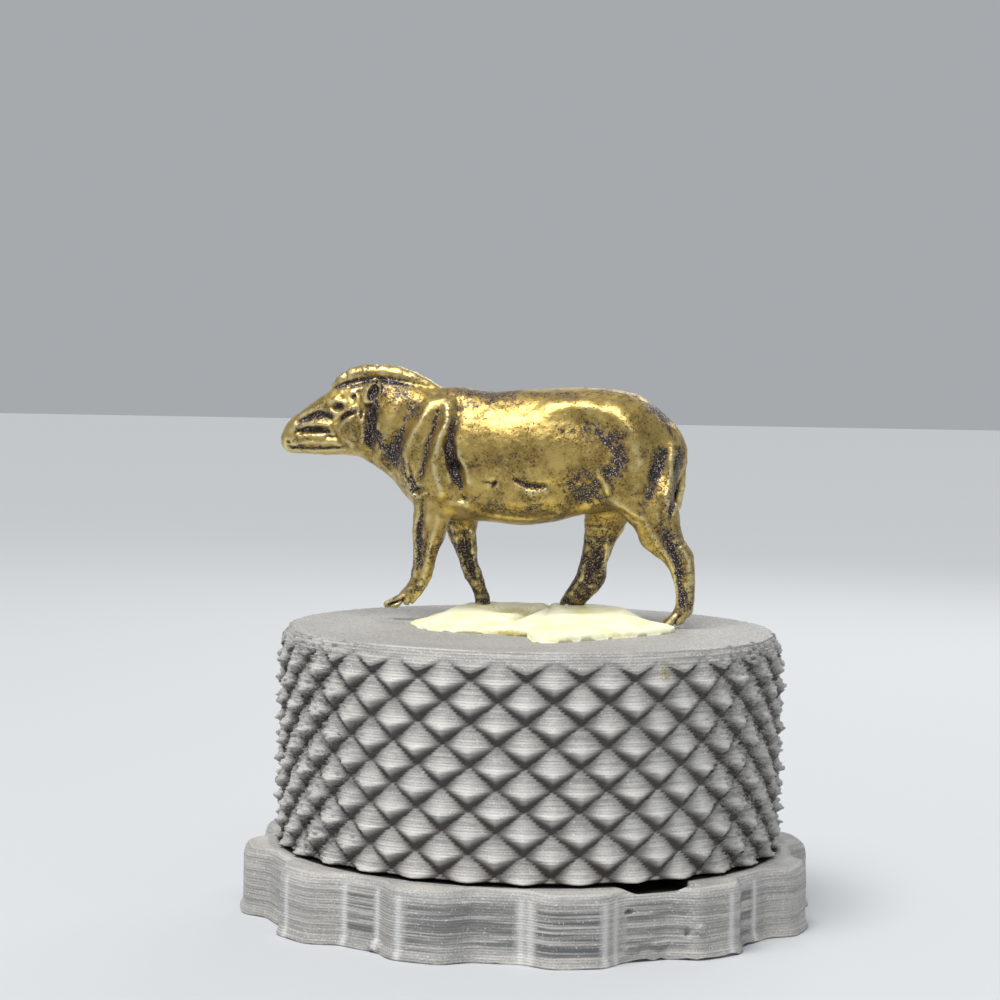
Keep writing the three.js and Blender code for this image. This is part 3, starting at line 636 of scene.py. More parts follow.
def through(points):
    """A smooth curve through [place, value] points, as a table of places and values."""
    x, y = np.array(points, dtype=float).T
    slope = np.empty_like(y)
    slope[1:-1] = (y[2:] - y[:-2]) / (x[2:] - x[:-2])
    slope[0] = (y[1] - y[0]) / (x[1] - x[0])
    slope[-1] = (y[-1] - y[-2]) / (x[-1] - x[-2])
    place = np.arange(x[0], x[-1] + TABLE_STEP, TABLE_STEP)
    i = np.clip(np.searchsorted(x, place, side="right") - 1, 0, len(x) - 2)
    span = x[i + 1] - x[i]
    t = np.clip((place - x[i]) / span, 0.0, 1.0)
    value = (2 * t**3 - 3 * t**2 + 1) * y[i] + (t**3 - 2 * t**2 + t) * span * slope[i]
    value += (-2 * t**3 + 3 * t**2) * y[i + 1] + (t**3 - t**2) * span * slope[i + 1]
    return place, value


def read(curve, place):
    return np.interp(place, curve[0], curve[1]).astype(np.float32)


def melt(a, b, reach):
    """The nearer of two distances, with the corner between them filled over this reach."""
    overlap = np.maximum(reach - np.abs(a - b), 0.0) / reach
    return np.minimum(a, b) - overlap * overlap * reach * 0.25


# %% [markdown]
# The trunk, neck and head are one long form. Three curves give its top line, its belly line and its half width,
# read off the side view and, for the width, off how such an animal is built.

# %% The trunk, neck and head
TRUNK_TOP = through([
    [-18.9, 14.4], [-18.5, 15.4], [-17.4, 16.35], [-15.9, 17.5], [-14.6, 18.3], [-13, 18.9], [-11, 19.25],
    [-8.5, 19.0], [-6.6, 18.5], [-4.4, 18.6], [-1.5, 18.27], [0.8, 18.48], [6.3, 18.75], [8.6, 18.55],
    [10.1, 18.15], [11.4, 17.3], [12.6, 16.25], [13.4, 15.3], [13.9, 14.2],
])
TRUNK_BOTTOM = through([
    [-18.9, 13.6], [-18.4, 13.1], [-16, 12.95], [-13.2, 12.95], [-12.1, 12.7], [-11, 12.0], [-9.6, 11.0],
    [-8.4, 9.6], [-7, 8.5], [-4.5, 8.05], [-1.4, 7.85], [1, 7.68], [3.4, 8.0], [6, 8.7], [8.5, 9.2], [11, 9.5],
    [13, 10.6], [13.9, 12.8],
])
TRUNK_WIDTH = through([
    [-18.9, 0.45], [-18.4, 0.85], [-17, 1.15], [-15.2, 1.45], [-13.6, 1.8], [-12.4, 2.05], [-10.5, 2.25],
    [-8.5, 2.9], [-6, 3.75], [-3, 4.15], [0.5, 4.45], [4, 4.3], [7.5, 3.95], [10.5, 3.65], [12.5, 2.7],
    [13.4, 1.7], [13.9, 0.6],
])
NOSE_END = -18.9
RUMP_END = 13.9
SECTION_POWER = 2.25


def trunk(x, y, z):
    place = np.clip(x, NOSE_END, RUMP_END)
    top = read(TRUNK_TOP, place)
    bottom = read(TRUNK_BOTTOM, place)
    half_height = (top - bottom) / 2
    rise = z - (top + bottom) / 2
    half_width = read(TRUNK_WIDTH, place) * (1 - 0.13 * np.clip(rise / half_height, -1, 1))
    across = np.abs(y / half_width) ** SECTION_POWER + np.abs(rise / half_height) ** SECTION_POWER
    out = np.hypot(y, rise)
    across = np.maximum(across, 1e-6)
    depth = np.where(
        across > 1e-4, out * (1 - across ** (-1 / SECTION_POWER)), -np.minimum(half_width, half_height)
    )
    beyond = np.maximum(NOSE_END - x, x - RUMP_END)
    return np.hypot(np.maximum(depth, 0), np.maximum(beyond, 0)) + np.minimum(np.maximum(depth, beyond), 0)


# %% [markdown]
# Legs, toes, crest and tail are limbs: a row of points, each with a thickness, joined by tapering rods. A point
# far from a limb needs no exact answer, so each limb is worked out only inside its own box.

# %% Limbs
FAR_AWAY = 9.0
LIMB_MARGIN = 1.6


def limb(points, flat=1.0, soft=0.1):
    """Returns the distance rule for a limb through [x, y, z, radius] points, flattened sideways by a share."""
    knots = np.array(points, dtype=np.float32)
    low = (knots[:, :3] - knots[:, 3:]).min(axis=0) - LIMB_MARGIN
    high = (knots[:, :3] + knots[:, 3:]).max(axis=0) + LIMB_MARGIN

    def distance(x, y, z):
        near = (x > low[0]) & (x < high[0]) & (y > low[1]) & (y < high[1]) & (z > low[2]) & (z < high[2])
        result = np.full(x.shape, FAR_AWAY, dtype=np.float32)
        px, py, pz = x[near], y[near], z[near]
        if not len(px):
            return result
        nearest = None
        for a, b in zip(knots, knots[1:]):
            run = np.array([b[0] - a[0], (b[1] - a[1]) / flat, b[2] - a[2]], dtype=np.float32)
            qx, qy, qz = px - a[0], (py - a[1]) / flat, pz - a[2]
            t = np.clip((qx * run[0] + qy * run[1] + qz * run[2]) / (run @ run), 0, 1)
            gap = np.sqrt((qx - t * run[0]) ** 2 + (qy - t * run[1]) ** 2 + (qz - t * run[2]) ** 2)
            gap -= a[3] + t * (b[3] - a[3])
            nearest = gap if nearest is None else melt(nearest, gap, soft)
        result[near] = nearest
        return result

    return distance


# %% [markdown]
# Relief on a flank or a leg is drawn as strokes in side view, each a width and a line of [x, z, rise] points,
# where a rise below zero presses a hollow. This is how a wax tool works, and it keeps each crease where the
# photo shows it. A little noise bends the strokes, because no hand draws a straight line in wax.

# %% Smooth noise and strokes
CUBE = [(a, b, c) for a in (0, 1) for b in (0, 1) for c in (0, 1)]


def grain(points, size, seed):
    """Smooth random bumps about this size in millimetres, from -1 to 1."""
    lattice = np.random.default_rng(seed).uniform(-1, 1, (32, 32, 32)).astype(np.float32)
    scaled = points / size
    cell = np.floor(scaled).astype(np.int32)
    share = scaled - cell
    share = share * share * (3 - 2 * share)
    result = np.zeros(len(points), dtype=np.float32)
    for a, b, c in CUBE:
        weight = (share[:, 0] if a else 1 - share[:, 0]) * (share[:, 1] if b else 1 - share[:, 1])
        weight = weight * (share[:, 2] if c else 1 - share[:, 2])
        result += weight * lattice[(cell[:, 0] + a) % 32, (cell[:, 1] + b) % 32, (cell[:, 2] + c) % 32]
    return result


LONG_WAVER = 0.14
SHORT_WAVER = 0.07


def stroke_rise(strokes, x, z):
    """How far the strokes raise the skin at each place."""
    rise = np.zeros(x.shape, dtype=np.float32)
    for width, along in strokes:
        line = np.array(along, dtype=np.float32)
        reach = 2.5 * width
        low, high = line[:, :2].min(axis=0) - reach, line[:, :2].max(axis=0) + reach
        near = (x > low[0]) & (x < high[0]) & (z > low[1]) & (z < high[1])
        px, pz = x[near], z[near]
        if not len(px):
            continue
        best = (px - line[0][0]) ** 2 + (pz - line[0][1]) ** 2
        height = np.full(px.shape, line[0][2], dtype=np.float32)
        for a, b in zip(line, line[1:]):
            run = b - a
            t = np.clip(((px - a[0]) * run[0] + (pz - a[1]) * run[1]) / (run[0] ** 2 + run[1] ** 2), 0, 1)
            away = (px - a[0] - t * run[0]) ** 2 + (pz - a[1] - t * run[1]) ** 2
            nearer = away < best
            best = np.where(nearer, away, best)
            height = np.where(nearer, a[2] + t * run[2], height)
        rise[near] += height * np.exp(-best / width**2)
    return rise


# The broad muscles and hollows, on both flanks
FLANK_STROKES = [
    (0.60, [
        [-5.3, 17.6, 0.15], [-6.2, 17.2, 0.40], [-7.0, 16.1, 0.45], [-7.6, 14.9, 0.48],
        [-8.0, 13.3, 0.42], [-8.1, 12.0, 0.30], [-7.6, 10.8, 0.22],
    ]),
    (0.52, [
        [-5.1, 17.6, 0.15], [-4.75, 17.0, 0.38], [-4.85, 15.9, 0.42], [-5.3, 14.5, 0.45],
        [-5.55, 13.0, 0.42], [-5.5, 11.8, 0.35], [-5.2, 10.9, 0.2],
    ]),
    (0.34, [
        [-5.5, 16.5, -0.10], [-5.95, 15.2, -0.28], [-6.3, 13.9, -0.40], [-6.45, 12.6, -0.32],
        [-6.8, 11.4, -0.18],
    ]),
    (0.42, [
        [-3.9, 17.2, -0.10], [-4.15, 16.0, -0.25], [-4.55, 14.6, -0.42], [-4.45, 13.4, -0.55],
        [-4.1, 12.2, -0.68],
    ]),
    (0.50, [[-4.1, 12.2, -0.62], [-3.75, 11.1, -0.60], [-3.3, 10.1, -0.35]]),
    (0.14, [[-4.98, 14.2, 0.05], [-4.85, 13.3, 0.16], [-4.65, 12.3, 0.16], [-4.3, 11.2, 0.1]]),
    (0.36, [[-3.8, 14.2, 0.08], [-3.4, 12.6, 0.15], [-2.9, 11.2, 0.12]]),
    (0.75, [[-7.9, 16.7, -0.30], [-8.7, 15.1, -0.46], [-9.3, 13.7, -0.50], [-9.5, 12.4, -0.40]]),
    (1.00, [[-9.4, 17.1, 0.22], [-9.8, 15.2, 0.34], [-10.1, 14.0, 0.2]]),
    (0.42, [
        [-11.4, 17.0, -0.5], [-11.1, 15.9, -0.62], [-11.05, 14.8, -0.62], [-11.3, 13.6, -0.5],
        [-11.5, 12.9, -0.25],
    ]),
    (2.60, [[-1.0, 15.2, 0.3], [3.0, 15.0, 0.3]]),
    (0.60, [[-2.6, 9.7, 0.1], [-0.5, 9.55, 0.26], [2.5, 9.65, 0.26], [4.3, 10.1, 0.1]]),
    (1.15, [
        [4.6, 16.1, -0.20], [6.6, 15.8, -0.48], [8.0, 14.8, -0.62], [9.0, 13.2, -0.52],
        [9.0, 12.0, -0.2],
    ]),
    (1.00, [[4.6, 10.5, -0.35], [6.0, 10.2, -0.65], [7.1, 10.8, -0.55]]),
    (1.05, [
        [3.5, 17.2, 0.38], [6.5, 17.4, 0.38], [8.8, 16.7, 0.38], [9.9, 15.3, 0.38], [10.5, 13.2, 0.38],
    ]),
    (0.55, [[7.6, 10.7, 0.2], [8.6, 9.9, 0.38], [9.6, 9.2, 0.38], [10.4, 8.6, 0.25]]),
    (0.80, [[12.3, 14.2, -0.35], [11.8, 13.0, -0.68], [11.5, 11.8, -0.62], [11.3, 10.4, -0.35]]),
    (0.50, [[13.0, 14.3, 0.3], [13.1, 12.0, 0.38], [12.8, 9.8, 0.3]]),
    (1.10, [[-2.6, 16.9, -0.10], [0.0, 17.1, -0.16], [2.4, 17.3, -0.10]]),
]
# Finer creases and folds
CREASE_STROKES = [
    (0.26, [[-6.3, 17.9, -0.1], [-4.3, 17.9, -0.14], [-3.9, 16.9, -0.2]]),
    (0.17, [
        [-8.5, 12.0, 0.1], [-8.1, 11.0, 0.22], [-7.5, 10.1, 0.26], [-6.9, 9.95, 0.22],
        [-6.2, 10.3, 0.12],
    ]),
    (0.20, [[-7.8, 12.3, -0.1], [-7.6, 11.3, -0.3], [-7.1, 10.5, -0.26], [-6.4, 10.6, -0.1]]),
    (0.40, [[-5.3, 11.2, 0.15], [-5.1, 10.3, 0.3]]),
    (0.36, [[-4.2, 9.5, 0.2], [-3.2, 9.35, 0.3]]),
    (0.26, [
        [0.3, 11.7, -0.05], [1.0, 11.45, -0.26], [1.8, 11.1, -0.32], [2.8, 10.95, -0.26],
        [3.7, 11.2, -0.08],
    ]),
    (0.30, [[1.0, 10.75, 0.05], [2.2, 10.4, 0.14], [3.4, 10.5, 0.06]]),
    (0.16, [[-1.7, 11.2, -0.05], [-1.0, 11.15, -0.2], [-0.4, 11.25, -0.05]]),
    (0.18, [[-0.5, 11.9, -0.05], [-0.75, 11.1, -0.22], [-1.25, 10.4, -0.1]]),
    (0.18, [[-1.8, 8.75, -0.1], [0.0, 8.5, -0.16], [2.0, 8.45, -0.16], [3.8, 8.6, -0.1]]),
    (0.22, [[-9.9, 13.3, 0.1], [-9.2, 12.0, 0.22], [-8.6, 10.9, 0.12]]),
    (0.20, [[-10.2, 12.3, 0.1], [-9.6, 11.6, 0.18]]),
    (0.16, [[11.4, 17.2, -0.05], [12.0, 16.7, -0.28], [12.6, 16.1, -0.1]]),
    (0.12, [[9.9, 18.2, -0.12], [10.6, 17.9, -0.2], [11.3, 17.5, -0.08]]),
    (0.30, [[7.4, 12.3, 0.1], [8.1, 10.9, 0.22]]),
    (0.20, [[9.0, 9.3, -0.1], [10.0, 8.7, -0.22], [10.9, 8.4, -0.1]]),
    (0.28, [[12.0, 10.9, -0.1], [12.5, 9.6, -0.3], [12.4, 8.9, -0.1]]),
    (0.20, [[13.5, 12.9, -0.15], [13.35, 10.8, -0.38], [12.95, 8.9, -0.2]]),
    (0.45, [[3.0, 18.0, -0.08], [6.5, 18.15, -0.12], [9.5, 17.7, -0.08]]),
]
# The head: jowl, cheek, muzzle, mouth, brow and the pits beside the ear
HEAD_STROKES = [
    (0.27, [[-17.4, 15.55, -0.2], [-16.6, 15.9, -0.45], [-15.6, 16.2, -0.5], [-14.7, 16.05, -0.35]]),
    (0.24, [[-17.4, 14.75, -0.2], [-16.6, 14.95, -0.45], [-15.6, 14.95, -0.45], [-14.8, 14.85, -0.3]]),
    (0.13, [[-15.1, 14.42, -0.1], [-14.6, 14.42, -0.3], [-14.2, 14.42, -0.1]]),
    (0.17, [[-17.0, 15.3, 0.1], [-15.9, 15.5, 0.12], [-14.7, 15.45, 0.2]]),
    (0.14, [[-16.2, 15.9, 0.14], [-15.9, 16.2, 0.1]]),
    (0.16, [[-17.6, 14.4, 0.1], [-16.4, 14.5, 0.18], [-15.2, 14.4, 0.1]]),
    (0.18, [[-17.8, 13.95, 0.1], [-16.4, 14.05, 0.2], [-15.2, 14.0, 0.2], [-14.2, 13.95, 0.1]]),
    (0.11, [[-18.1, 13.48, -0.2], [-16.5, 13.58, -0.3], [-15.0, 13.56, -0.3], [-13.4, 13.55, -0.15]]),
    (0.13, [[-17.75, 14.7, -0.05], [-17.55, 14.3, -0.25], [-17.5, 14.0, -0.1]]),
    (0.30, [[-18.0, 15.0, 0.1], [-17.2, 15.9, 0.16], [-16.0, 16.65, 0.16], [-14.8, 17.2, 0.1]]),
    (0.27, [[-14.2, 16.8, -0.4], [-13.85, 16.88, -0.5]]),
    (0.20, [[-14.75, 17.1, 0.1], [-14.2, 17.42, 0.2], [-13.5, 17.25, 0.14]]),
    (0.17, [[-14.5, 16.4, 0.1], [-13.9, 16.42, 0.16], [-13.2, 16.75, 0.2], [-12.5, 16.95, 0.12]]),
    (0.20, [[-14.2, 15.65, -0.15], [-13.7, 15.95, -0.36], [-13.1, 16.3, -0.36], [-12.5, 16.45, -0.15]]),
    (0.20, [[-12.75, 17.62, -0.42]]),
    (0.17, [[-12.35, 18.0, -0.36]]),
    (0.12, [[-13.74, 17.62, -0.18]]),
    (0.12, [[-12.0, 17.0, -0.1], [-11.9, 16.4, -0.25], [-11.85, 15.9, -0.1]]),
    (0.22, [
        [-12.3, 16.4, 0.04], [-13.3, 15.8, 0.08], [-13.8, 15.1, 0.10], [-13.5, 14.3, 0.10],
        [-12.8, 13.8, 0.10],
    ]),
    (0.22, [
        [-12.8, 13.8, 0.10], [-12.2, 13.8, 0.10], [-11.85, 14.5, 0.12], [-11.8, 15.4, 0.12],
        [-12.0, 16.2, 0.06],
    ]),
    (0.16, [[-14.4, 15.3, -0.2], [-14.15, 14.4, -0.2], [-13.3, 13.45, -0.1]]),
    (0.22, [[-10.75, 16.1, 0.1], [-10.55, 15.3, 0.2]]),
    (0.15, [[-18.1, 13.85, -0.3]]),
    (0.14, [[-17.75, 14.0, -0.12]]),
]


def bent(x, y, z):
    """Side-view places, pushed about a little, so that a stroke through them wavers."""
    place = np.stack([x, y, z], axis=1)
    bent_x = x + LONG_WAVER * grain(place, 1.7, 31) + SHORT_WAVER * grain(place, 0.7, 32)
    bent_z = z + LONG_WAVER * grain(place, 1.7, 33) + SHORT_WAVER * grain(place, 0.7, 34)
    return bent_x, bent_z


def flank_relief(x, y, z):
    half_width = read(TRUNK_WIDTH, np.clip(x, NOSE_END, RUMP_END))
    outward = eased(np.abs(y), 0.2 * half_width, 0.7 * half_width)
    bent_x, bent_z = bent(x, y, z)
    broad = stroke_rise(FLANK_STROKES, bent_x, bent_z) + stroke_rise(HEAD_STROKES, bent_x, bent_z)
    fine = stroke_rise(CREASE_STROKES, bent_x, bent_z)
    return (broad + fine * np.where(y < 0, 1.0, 0.6)) * outward


print("strokes:", len(FLANK_STROKES) + len(CREASE_STROKES) + len(HEAD_STROKES))

# %% [markdown]
# The tapir is walking. The near foreleg reaches ahead and its foot is off the plinth, the far legs stand in the
# putty, and the near hind leg pushes off behind.

# %% Legs
LEG_SPREAD = 2.4
NEAR = -LEG_SPREAD
FAR = LEG_SPREAD

near_foreleg = limb([
    [-5.9, NEAR + 0.3, 10.2, 1.75], [-6.1, NEAR, 8.3, 1.4], [-6.24, NEAR, 7, 1.29], [-6.5, NEAR, 5.7, 1],
    [-6.64, NEAR, 4.4, 0.84], [-6.8, NEAR, 3.7, 0.84], [-7.0, NEAR, 3.1, 0.72], [-7.4, NEAR, 2.45, 0.7],
    [-7.9, NEAR, 1.85, 0.7],
], 0.85)
far_foreleg = limb([
    [-4.5, FAR - 0.4, 9.6, 1.5], [-4.5, FAR, 7.6, 1.36], [-4.42, FAR, 6.7, 1.12], [-4.2, FAR, 6.1, 0.97],
    [-4.02, FAR, 5.45, 0.87], [-3.9, FAR, 4.8, 0.71], [-3.78, FAR, 4.15, 0.68], [-3.5, FAR, 3.5, 0.72],
    [-3.15, FAR, 2.85, 0.62], [-2.9, FAR, 2.2, 0.54], [-2.68, FAR, 1.6, 0.58], [-2.6, FAR, 1.1, 0.6],
], 0.9)
far_hindleg = limb([
    [7.6, FAR - 0.2, 9.6, 2.2], [7.2, FAR, 7.9, 1.65], [6.85, FAR, 6.6, 1.28], [6.65, FAR, 5.7, 1.15],
    [6.4, FAR, 4.9, 1.03], [6.3, FAR, 4.2, 1.1], [6.25, FAR, 3.7, 1.18], [5.95, FAR, 3.1, 1.1],
    [5.45, FAR, 2.45, 0.98], [4.97, FAR, 1.8, 0.91], [4.5, FAR, 1.2, 0.83],
], 0.72)
near_hindleg = limb([
    [10.7, NEAR + 0.4, 10.5, 2.4], [11.8, NEAR, 8.6, 1.85], [12.1, NEAR, 7.5, 1.7], [12.6, NEAR, 6.75, 1.38],
    [13.1, NEAR, 6.2, 1.17], [13.68, NEAR, 5.5, 1.14], [13.88, NEAR, 4.9, 1], [14.02, NEAR, 4.3, 0.9],
    [14.14, NEAR, 3.7, 0.8], [14.2, NEAR, 3, 0.73], [14.22, NEAR, 2.3, 0.72], [14.15, NEAR, 1.6, 0.7],
    [13.8, NEAR, 1, 0.66],
], 0.82)

# Bones and sinews that show along each leg
LEG_STROKES = {
    "near_foreleg": [
        (0.26, [[-7.2, 9.2, 0.1], [-7.3, 7.4, 0.18], [-7.15, 5.6, 0.18], [-7.3, 3.6, 0.1]]),
        (0.30, [[-6.6, 9.6, -0.15], [-6.85, 7.8, -0.26], [-6.85, 6.2, -0.22], [-6.95, 4.6, -0.1]]),
        (0.28, [[-5.3, 8.2, 0.12], [-5.9, 6.2, 0.22], [-6.3, 4.4, 0.22], [-6.9, 3.0, 0.12]]),
        (0.20, [[-6.9, 3.3, -0.05], [-7.5, 3.0, -0.14], [-7.9, 2.9, -0.05]]),
    ],
    "far_foreleg": [
        (0.24, [[-5.0, 7.4, 0.1], [-4.7, 5.8, 0.18], [-4.3, 4.4, 0.16], [-3.9, 3.4, 0.1]]),
        (0.26, [[-4.3, 7.6, -0.15], [-4.1, 6.2, -0.25], [-3.85, 4.9, -0.2], [-3.3, 3.2, -0.1]]),
        (0.22, [[-3.5, 7.0, 0.1], [-3.4, 5.4, 0.18], [-3.0, 3.4, 0.14]]),
    ],
    "far_hindleg": [
        (0.30, [[5.8, 7.8, 0.1], [5.9, 5.8, 0.18], [5.5, 3.9, 0.2], [4.7, 2.2, 0.1]]),
        (0.32, [[6.9, 7.0, -0.1], [6.8, 5.6, -0.24], [6.5, 4.4, -0.26], [5.7, 2.9, -0.12]]),
        (0.26, [[7.7, 6.8, 0.1], [7.4, 5.0, 0.18], [7.2, 3.8, 0.18]]),
        (0.13, [[5.6, 7.9, -0.06], [6.9, 7.6, -0.16], [8.1, 7.8, -0.06]]),
        (0.12, [[5.7, 7.0, -0.05], [6.8, 6.7, -0.14], [7.9, 6.9, -0.05]]),
        (0.12, [[5.7, 5.2, -0.06], [6.5, 5.0, -0.15], [7.2, 5.2, -0.06]]),
        (0.12, [[5.2, 3.2, -0.05], [5.9, 3.0, -0.14], [6.6, 3.2, -0.05]]),
    ],
    "near_hindleg": [
        (0.34, [[10.9, 8.6, 0.1], [12.0, 6.8, 0.2], [12.9, 5.4, 0.2], [13.5, 3.8, 0.18], [13.6, 1.9, 0.1]]),
        (0.28, [
            [12.2, 8.2, -0.1], [13.0, 6.6, -0.25], [13.6, 5.1, -0.24], [13.95, 3.5, -0.16],
            [14.0, 2.0, -0.1],
        ]),
        (0.30, [
            [13.2, 8.2, 0.1], [13.9, 6.7, 0.2], [14.5, 5.4, 0.22], [14.65, 4.0, 0.16],
            [14.6, 2.4, 0.1],
        ]),
        (0.14, [[12.9, 6.9, -0.06], [13.5, 6.7, -0.16], [14.1, 6.9, -0.06]]),
        (0.12, [[13.4, 3.0, -0.05], [14.0, 2.85, -0.12], [14.7, 3.0, -0.05]]),
    ],
}
LEGS = {
    "near_foreleg": (near_foreleg, NEAR),
    "far_foreleg": (far_foreleg, FAR),
    "far_hindleg": (far_hindleg, FAR),
    "near_hindleg": (near_hindleg, NEAR),
}
print("legs:", sorted(LEGS))


# %% Toes, crest, tail, jowl and ears
def toes(knuckle, reach, size):
    """A middle toe and one on either side, from the knuckle down to their tips."""
    x, y, z = knuckle
    made = []
    for side in (-1, 0, 1):
        length = reach if side == 0 else 0.55 * reach
        tip = [x - length, y + 0.62 * size * side, z - 0.55, size * 0.42]
        made.append(limb([[x, y + 0.3 * size * side, z, size * 0.62], tip]))
    return made


TOES = [
    *toes([-8.2, NEAR, 1.75], 1.35, 0.72),
    *toes([-2.8, FAR, 0.98], 0.45, 0.74),
    *toes([4.3, FAR, 0.95], 0.8, 0.9),
    *toes([13.5, NEAR, 0.75], 1.05, 0.78),
]
crest = limb([
    [-14.45, 0, 18.55, 0.42], [-13.9, 0, 18.98, 0.56], [-13, 0, 19.38, 0.64], [-12, 0, 19.58, 0.68],
    [-10.6, 0, 19.62, 0.68], [-9.4, 0, 19.5, 0.66], [-8.2, 0, 19.15, 0.62], [-7.1, 0, 18.65, 0.56],
    [-6.2, 0, 18.2, 0.5],
], 1.15)
under_crest = [
    limb([
        [-14.3, side, 18.33, 0.1], [-13.1, side, 18.5, 0.2], [-11.6, side, 18.85, 0.22],
        [-10.5, side, 18.85, 0.2], [-8.95, side, 18.72, 0.17], [-7.8, side, 18.5, 0.1],
    ])
    for side in (-0.98, 0.98)
]
# Nicks that the file left along the crest
CREST_STROKES = [
    (0.10, [[-13.6, 19.6, -0.1], [-13.5, 19.2, -0.12]]),
    (0.09, [[-11.9, 20.1, -0.07], [-11.8, 19.8, -0.03]]),
    (0.11, [[-11.0, 20.2, -0.10], [-11.1, 19.8, -0.03]]),
    (0.09, [[-8.6, 19.8, -0.06], [-8.4, 19.5, -0.03]]),
]
tail = limb([
    [12.3, 0, 15.7, 0.45], [13.05, 0, 14.6, 0.5], [13.38, 0, 13, 0.48], [13.4, 0, 11, 0.44],
    [13.2, 0, 9.6, 0.38], [12.9, 0, 8.7, 0.3],
])
jowl = limb([[-12.75, 0, 15.6, 1.05], [-12.65, 0, 14.45, 1.1]], 1.98)


def oval(centre, radii, lean, splay):
    """Distance rule for an oval, leant back by one angle and splayed out by the other, in radians."""
    turn = np.array(Matrix.Rotation(splay, 3, "X") @ Matrix.Rotation(lean, 3, "Y"))

    def distance(x, y, z):
        p = np.stack([x - centre[0], y - centre[1], z - centre[2]])
        q = np.tensordot(turn.T.astype(np.float32), p, axes=1) / np.array(radii, dtype=np.float32)[:, None]
        return (np.sqrt((q * q).sum(axis=0)) - 1.0) * min(radii)

    return distance


def ear(side):
    """The ear's shell with its pointed tip, and the cup that is pressed into it."""
    lean, splay = math.radians(24), math.radians(14) * side
    shell = oval([-11.25, 1.6 * side, 18.12], [0.72, 0.5, 1.14], lean, splay)
    cup = oval([-11.02, 2.10 * side, 18.05], [0.44, 0.66, 0.72], lean, splay)
    tip = limb([[-11.15, 1.75 * side, 18.8, 0.3], [-10.82, 1.9 * side, 19.22, 0.09]])
    return shell, cup, tip


EARS = [ear(-1), ear(1)]
# Gaps between the toes of the two near feet, cut after the toes are on
TOE_STROKES = [
    (0.10, [[-9.5, 1.15, -0.12], [-8.7, 1.45, -0.34], [-8.1, 1.75, -0.16]]),
    (0.10, [[-8.5, 1.0, -0.30], [-8.2, 1.55, -0.22]]),
    (0.10, [[-7.7, 1.3, -0.22], [-7.6, 1.8, -0.10]]),
    (0.11, [[13.3, 0.1, -0.26], [13.6, 0.75, -0.24], [13.9, 1.1, -0.10]]),
    (0.11, [[14.2, 0.1, -0.26], [14.35, 0.8, -0.20]]),
]

# %% [markdown]
# Now the whole tapir is one rule. The order matters: the limbs melt in first, the ears are set on and hollowed,
# and the small cuts come last so that nothing fills them again.

# %% The tapir's distance rule
def tapir_distance(x, y, z):
    body = trunk(x, y, z)
    body = melt(body, jowl(x, y, z), 0.2)
    body = melt(body, crest(x, y, z) - stroke_rise(CREST_STROKES, x, z), 0.22)
    body = melt(body, tail(x, y, z), 0.2)
    for name, (leg, side) in LEGS.items():
        sinews = stroke_rise(LEG_STROKES[name], *bent(x, y, z)) * eased(np.abs(y - side), 0.1, 0.5)
        sinews *= np.abs(y - side) < LEG_SPREAD * 0.8
        body = melt(body, leg(x, y, z) - sinews, 0.8)
    body -= flank_relief(x, y, z)
    for toe in TOES:
        body = melt(body, toe(x, y, z), 0.12)
    body -= stroke_rise(TOE_STROKES, x, z) * (y < NEAR + 0.9)
    for shell, cup, tip in EARS:
        whole = melt(shell(x, y, z), tip(x, y, z), 0.15)
        body = melt(body, np.maximum(whole, -cup(x, y, z)), 0.12)
    for cut in under_crest:
        body = -melt(-body, cut(x, y, z), 0.15)
    return np.maximum(body, -z)


# %% [markdown]
# ## Wrapping a skin round the rule
# The rule is read on a fine grid. Every grid cell that the surface crosses gets one point, and cells round a
# crossed edge are joined by a face, which gives an even skin of squares. Reading every cell would be slow, so
# blocks that are plainly inside or outside are skipped.

# %% Read the rule on a grid
BLOCK = 4


def grid_line(low, high, step):
    """Evenly spaced places, a whole number of blocks of them."""
    count = math.ceil((high - low) / step / BLOCK) * BLOCK
    return (low + step * np.arange(count)).astype(np.float32)


def read_rule(rule, lines):
    centres = [line.reshape(-1, BLOCK).mean(axis=1) for line in lines]
    steps = [line[1] - line[0] for line in lines]
    mesh = np.meshgrid(*centres, indexing="ij")
    rough = rule(*[axis.ravel() for axis in mesh]).reshape(mesh[0].shape)
    half_block = 0.5 * BLOCK * math.sqrt(sum(step**2 for step in steps))
    close = np.abs(rough) < half_block * 1.3 + 0.4
    values = rough
    for axis in range(3):
        values = np.repeat(values, BLOCK, axis=axis)
    offsets = np.stack(np.meshgrid(*[np.arange(BLOCK)] * 3, indexing="ij"), axis=-1).reshape(-1, 3)
    wanted = (np.argwhere(close)[:, None, :] * BLOCK + offsets).reshape(-1, 3)
    for part in np.array_split(wanted, max(1, len(wanted) // 150000)):
        i, j, k = part.T
        values[i, j, k] = rule(lines[0][i], lines[1][j], lines[2][k])
    print("grid points worked out:", len(wanted), "of", values.size)
    return values


# %% [markdown]
# Where two insides meet only across the corner of a grid square, the skin would touch itself along an edge.
# Filling the better corner of such squares keeps the mesh clean, as a founder closes a pinhole in the wax.

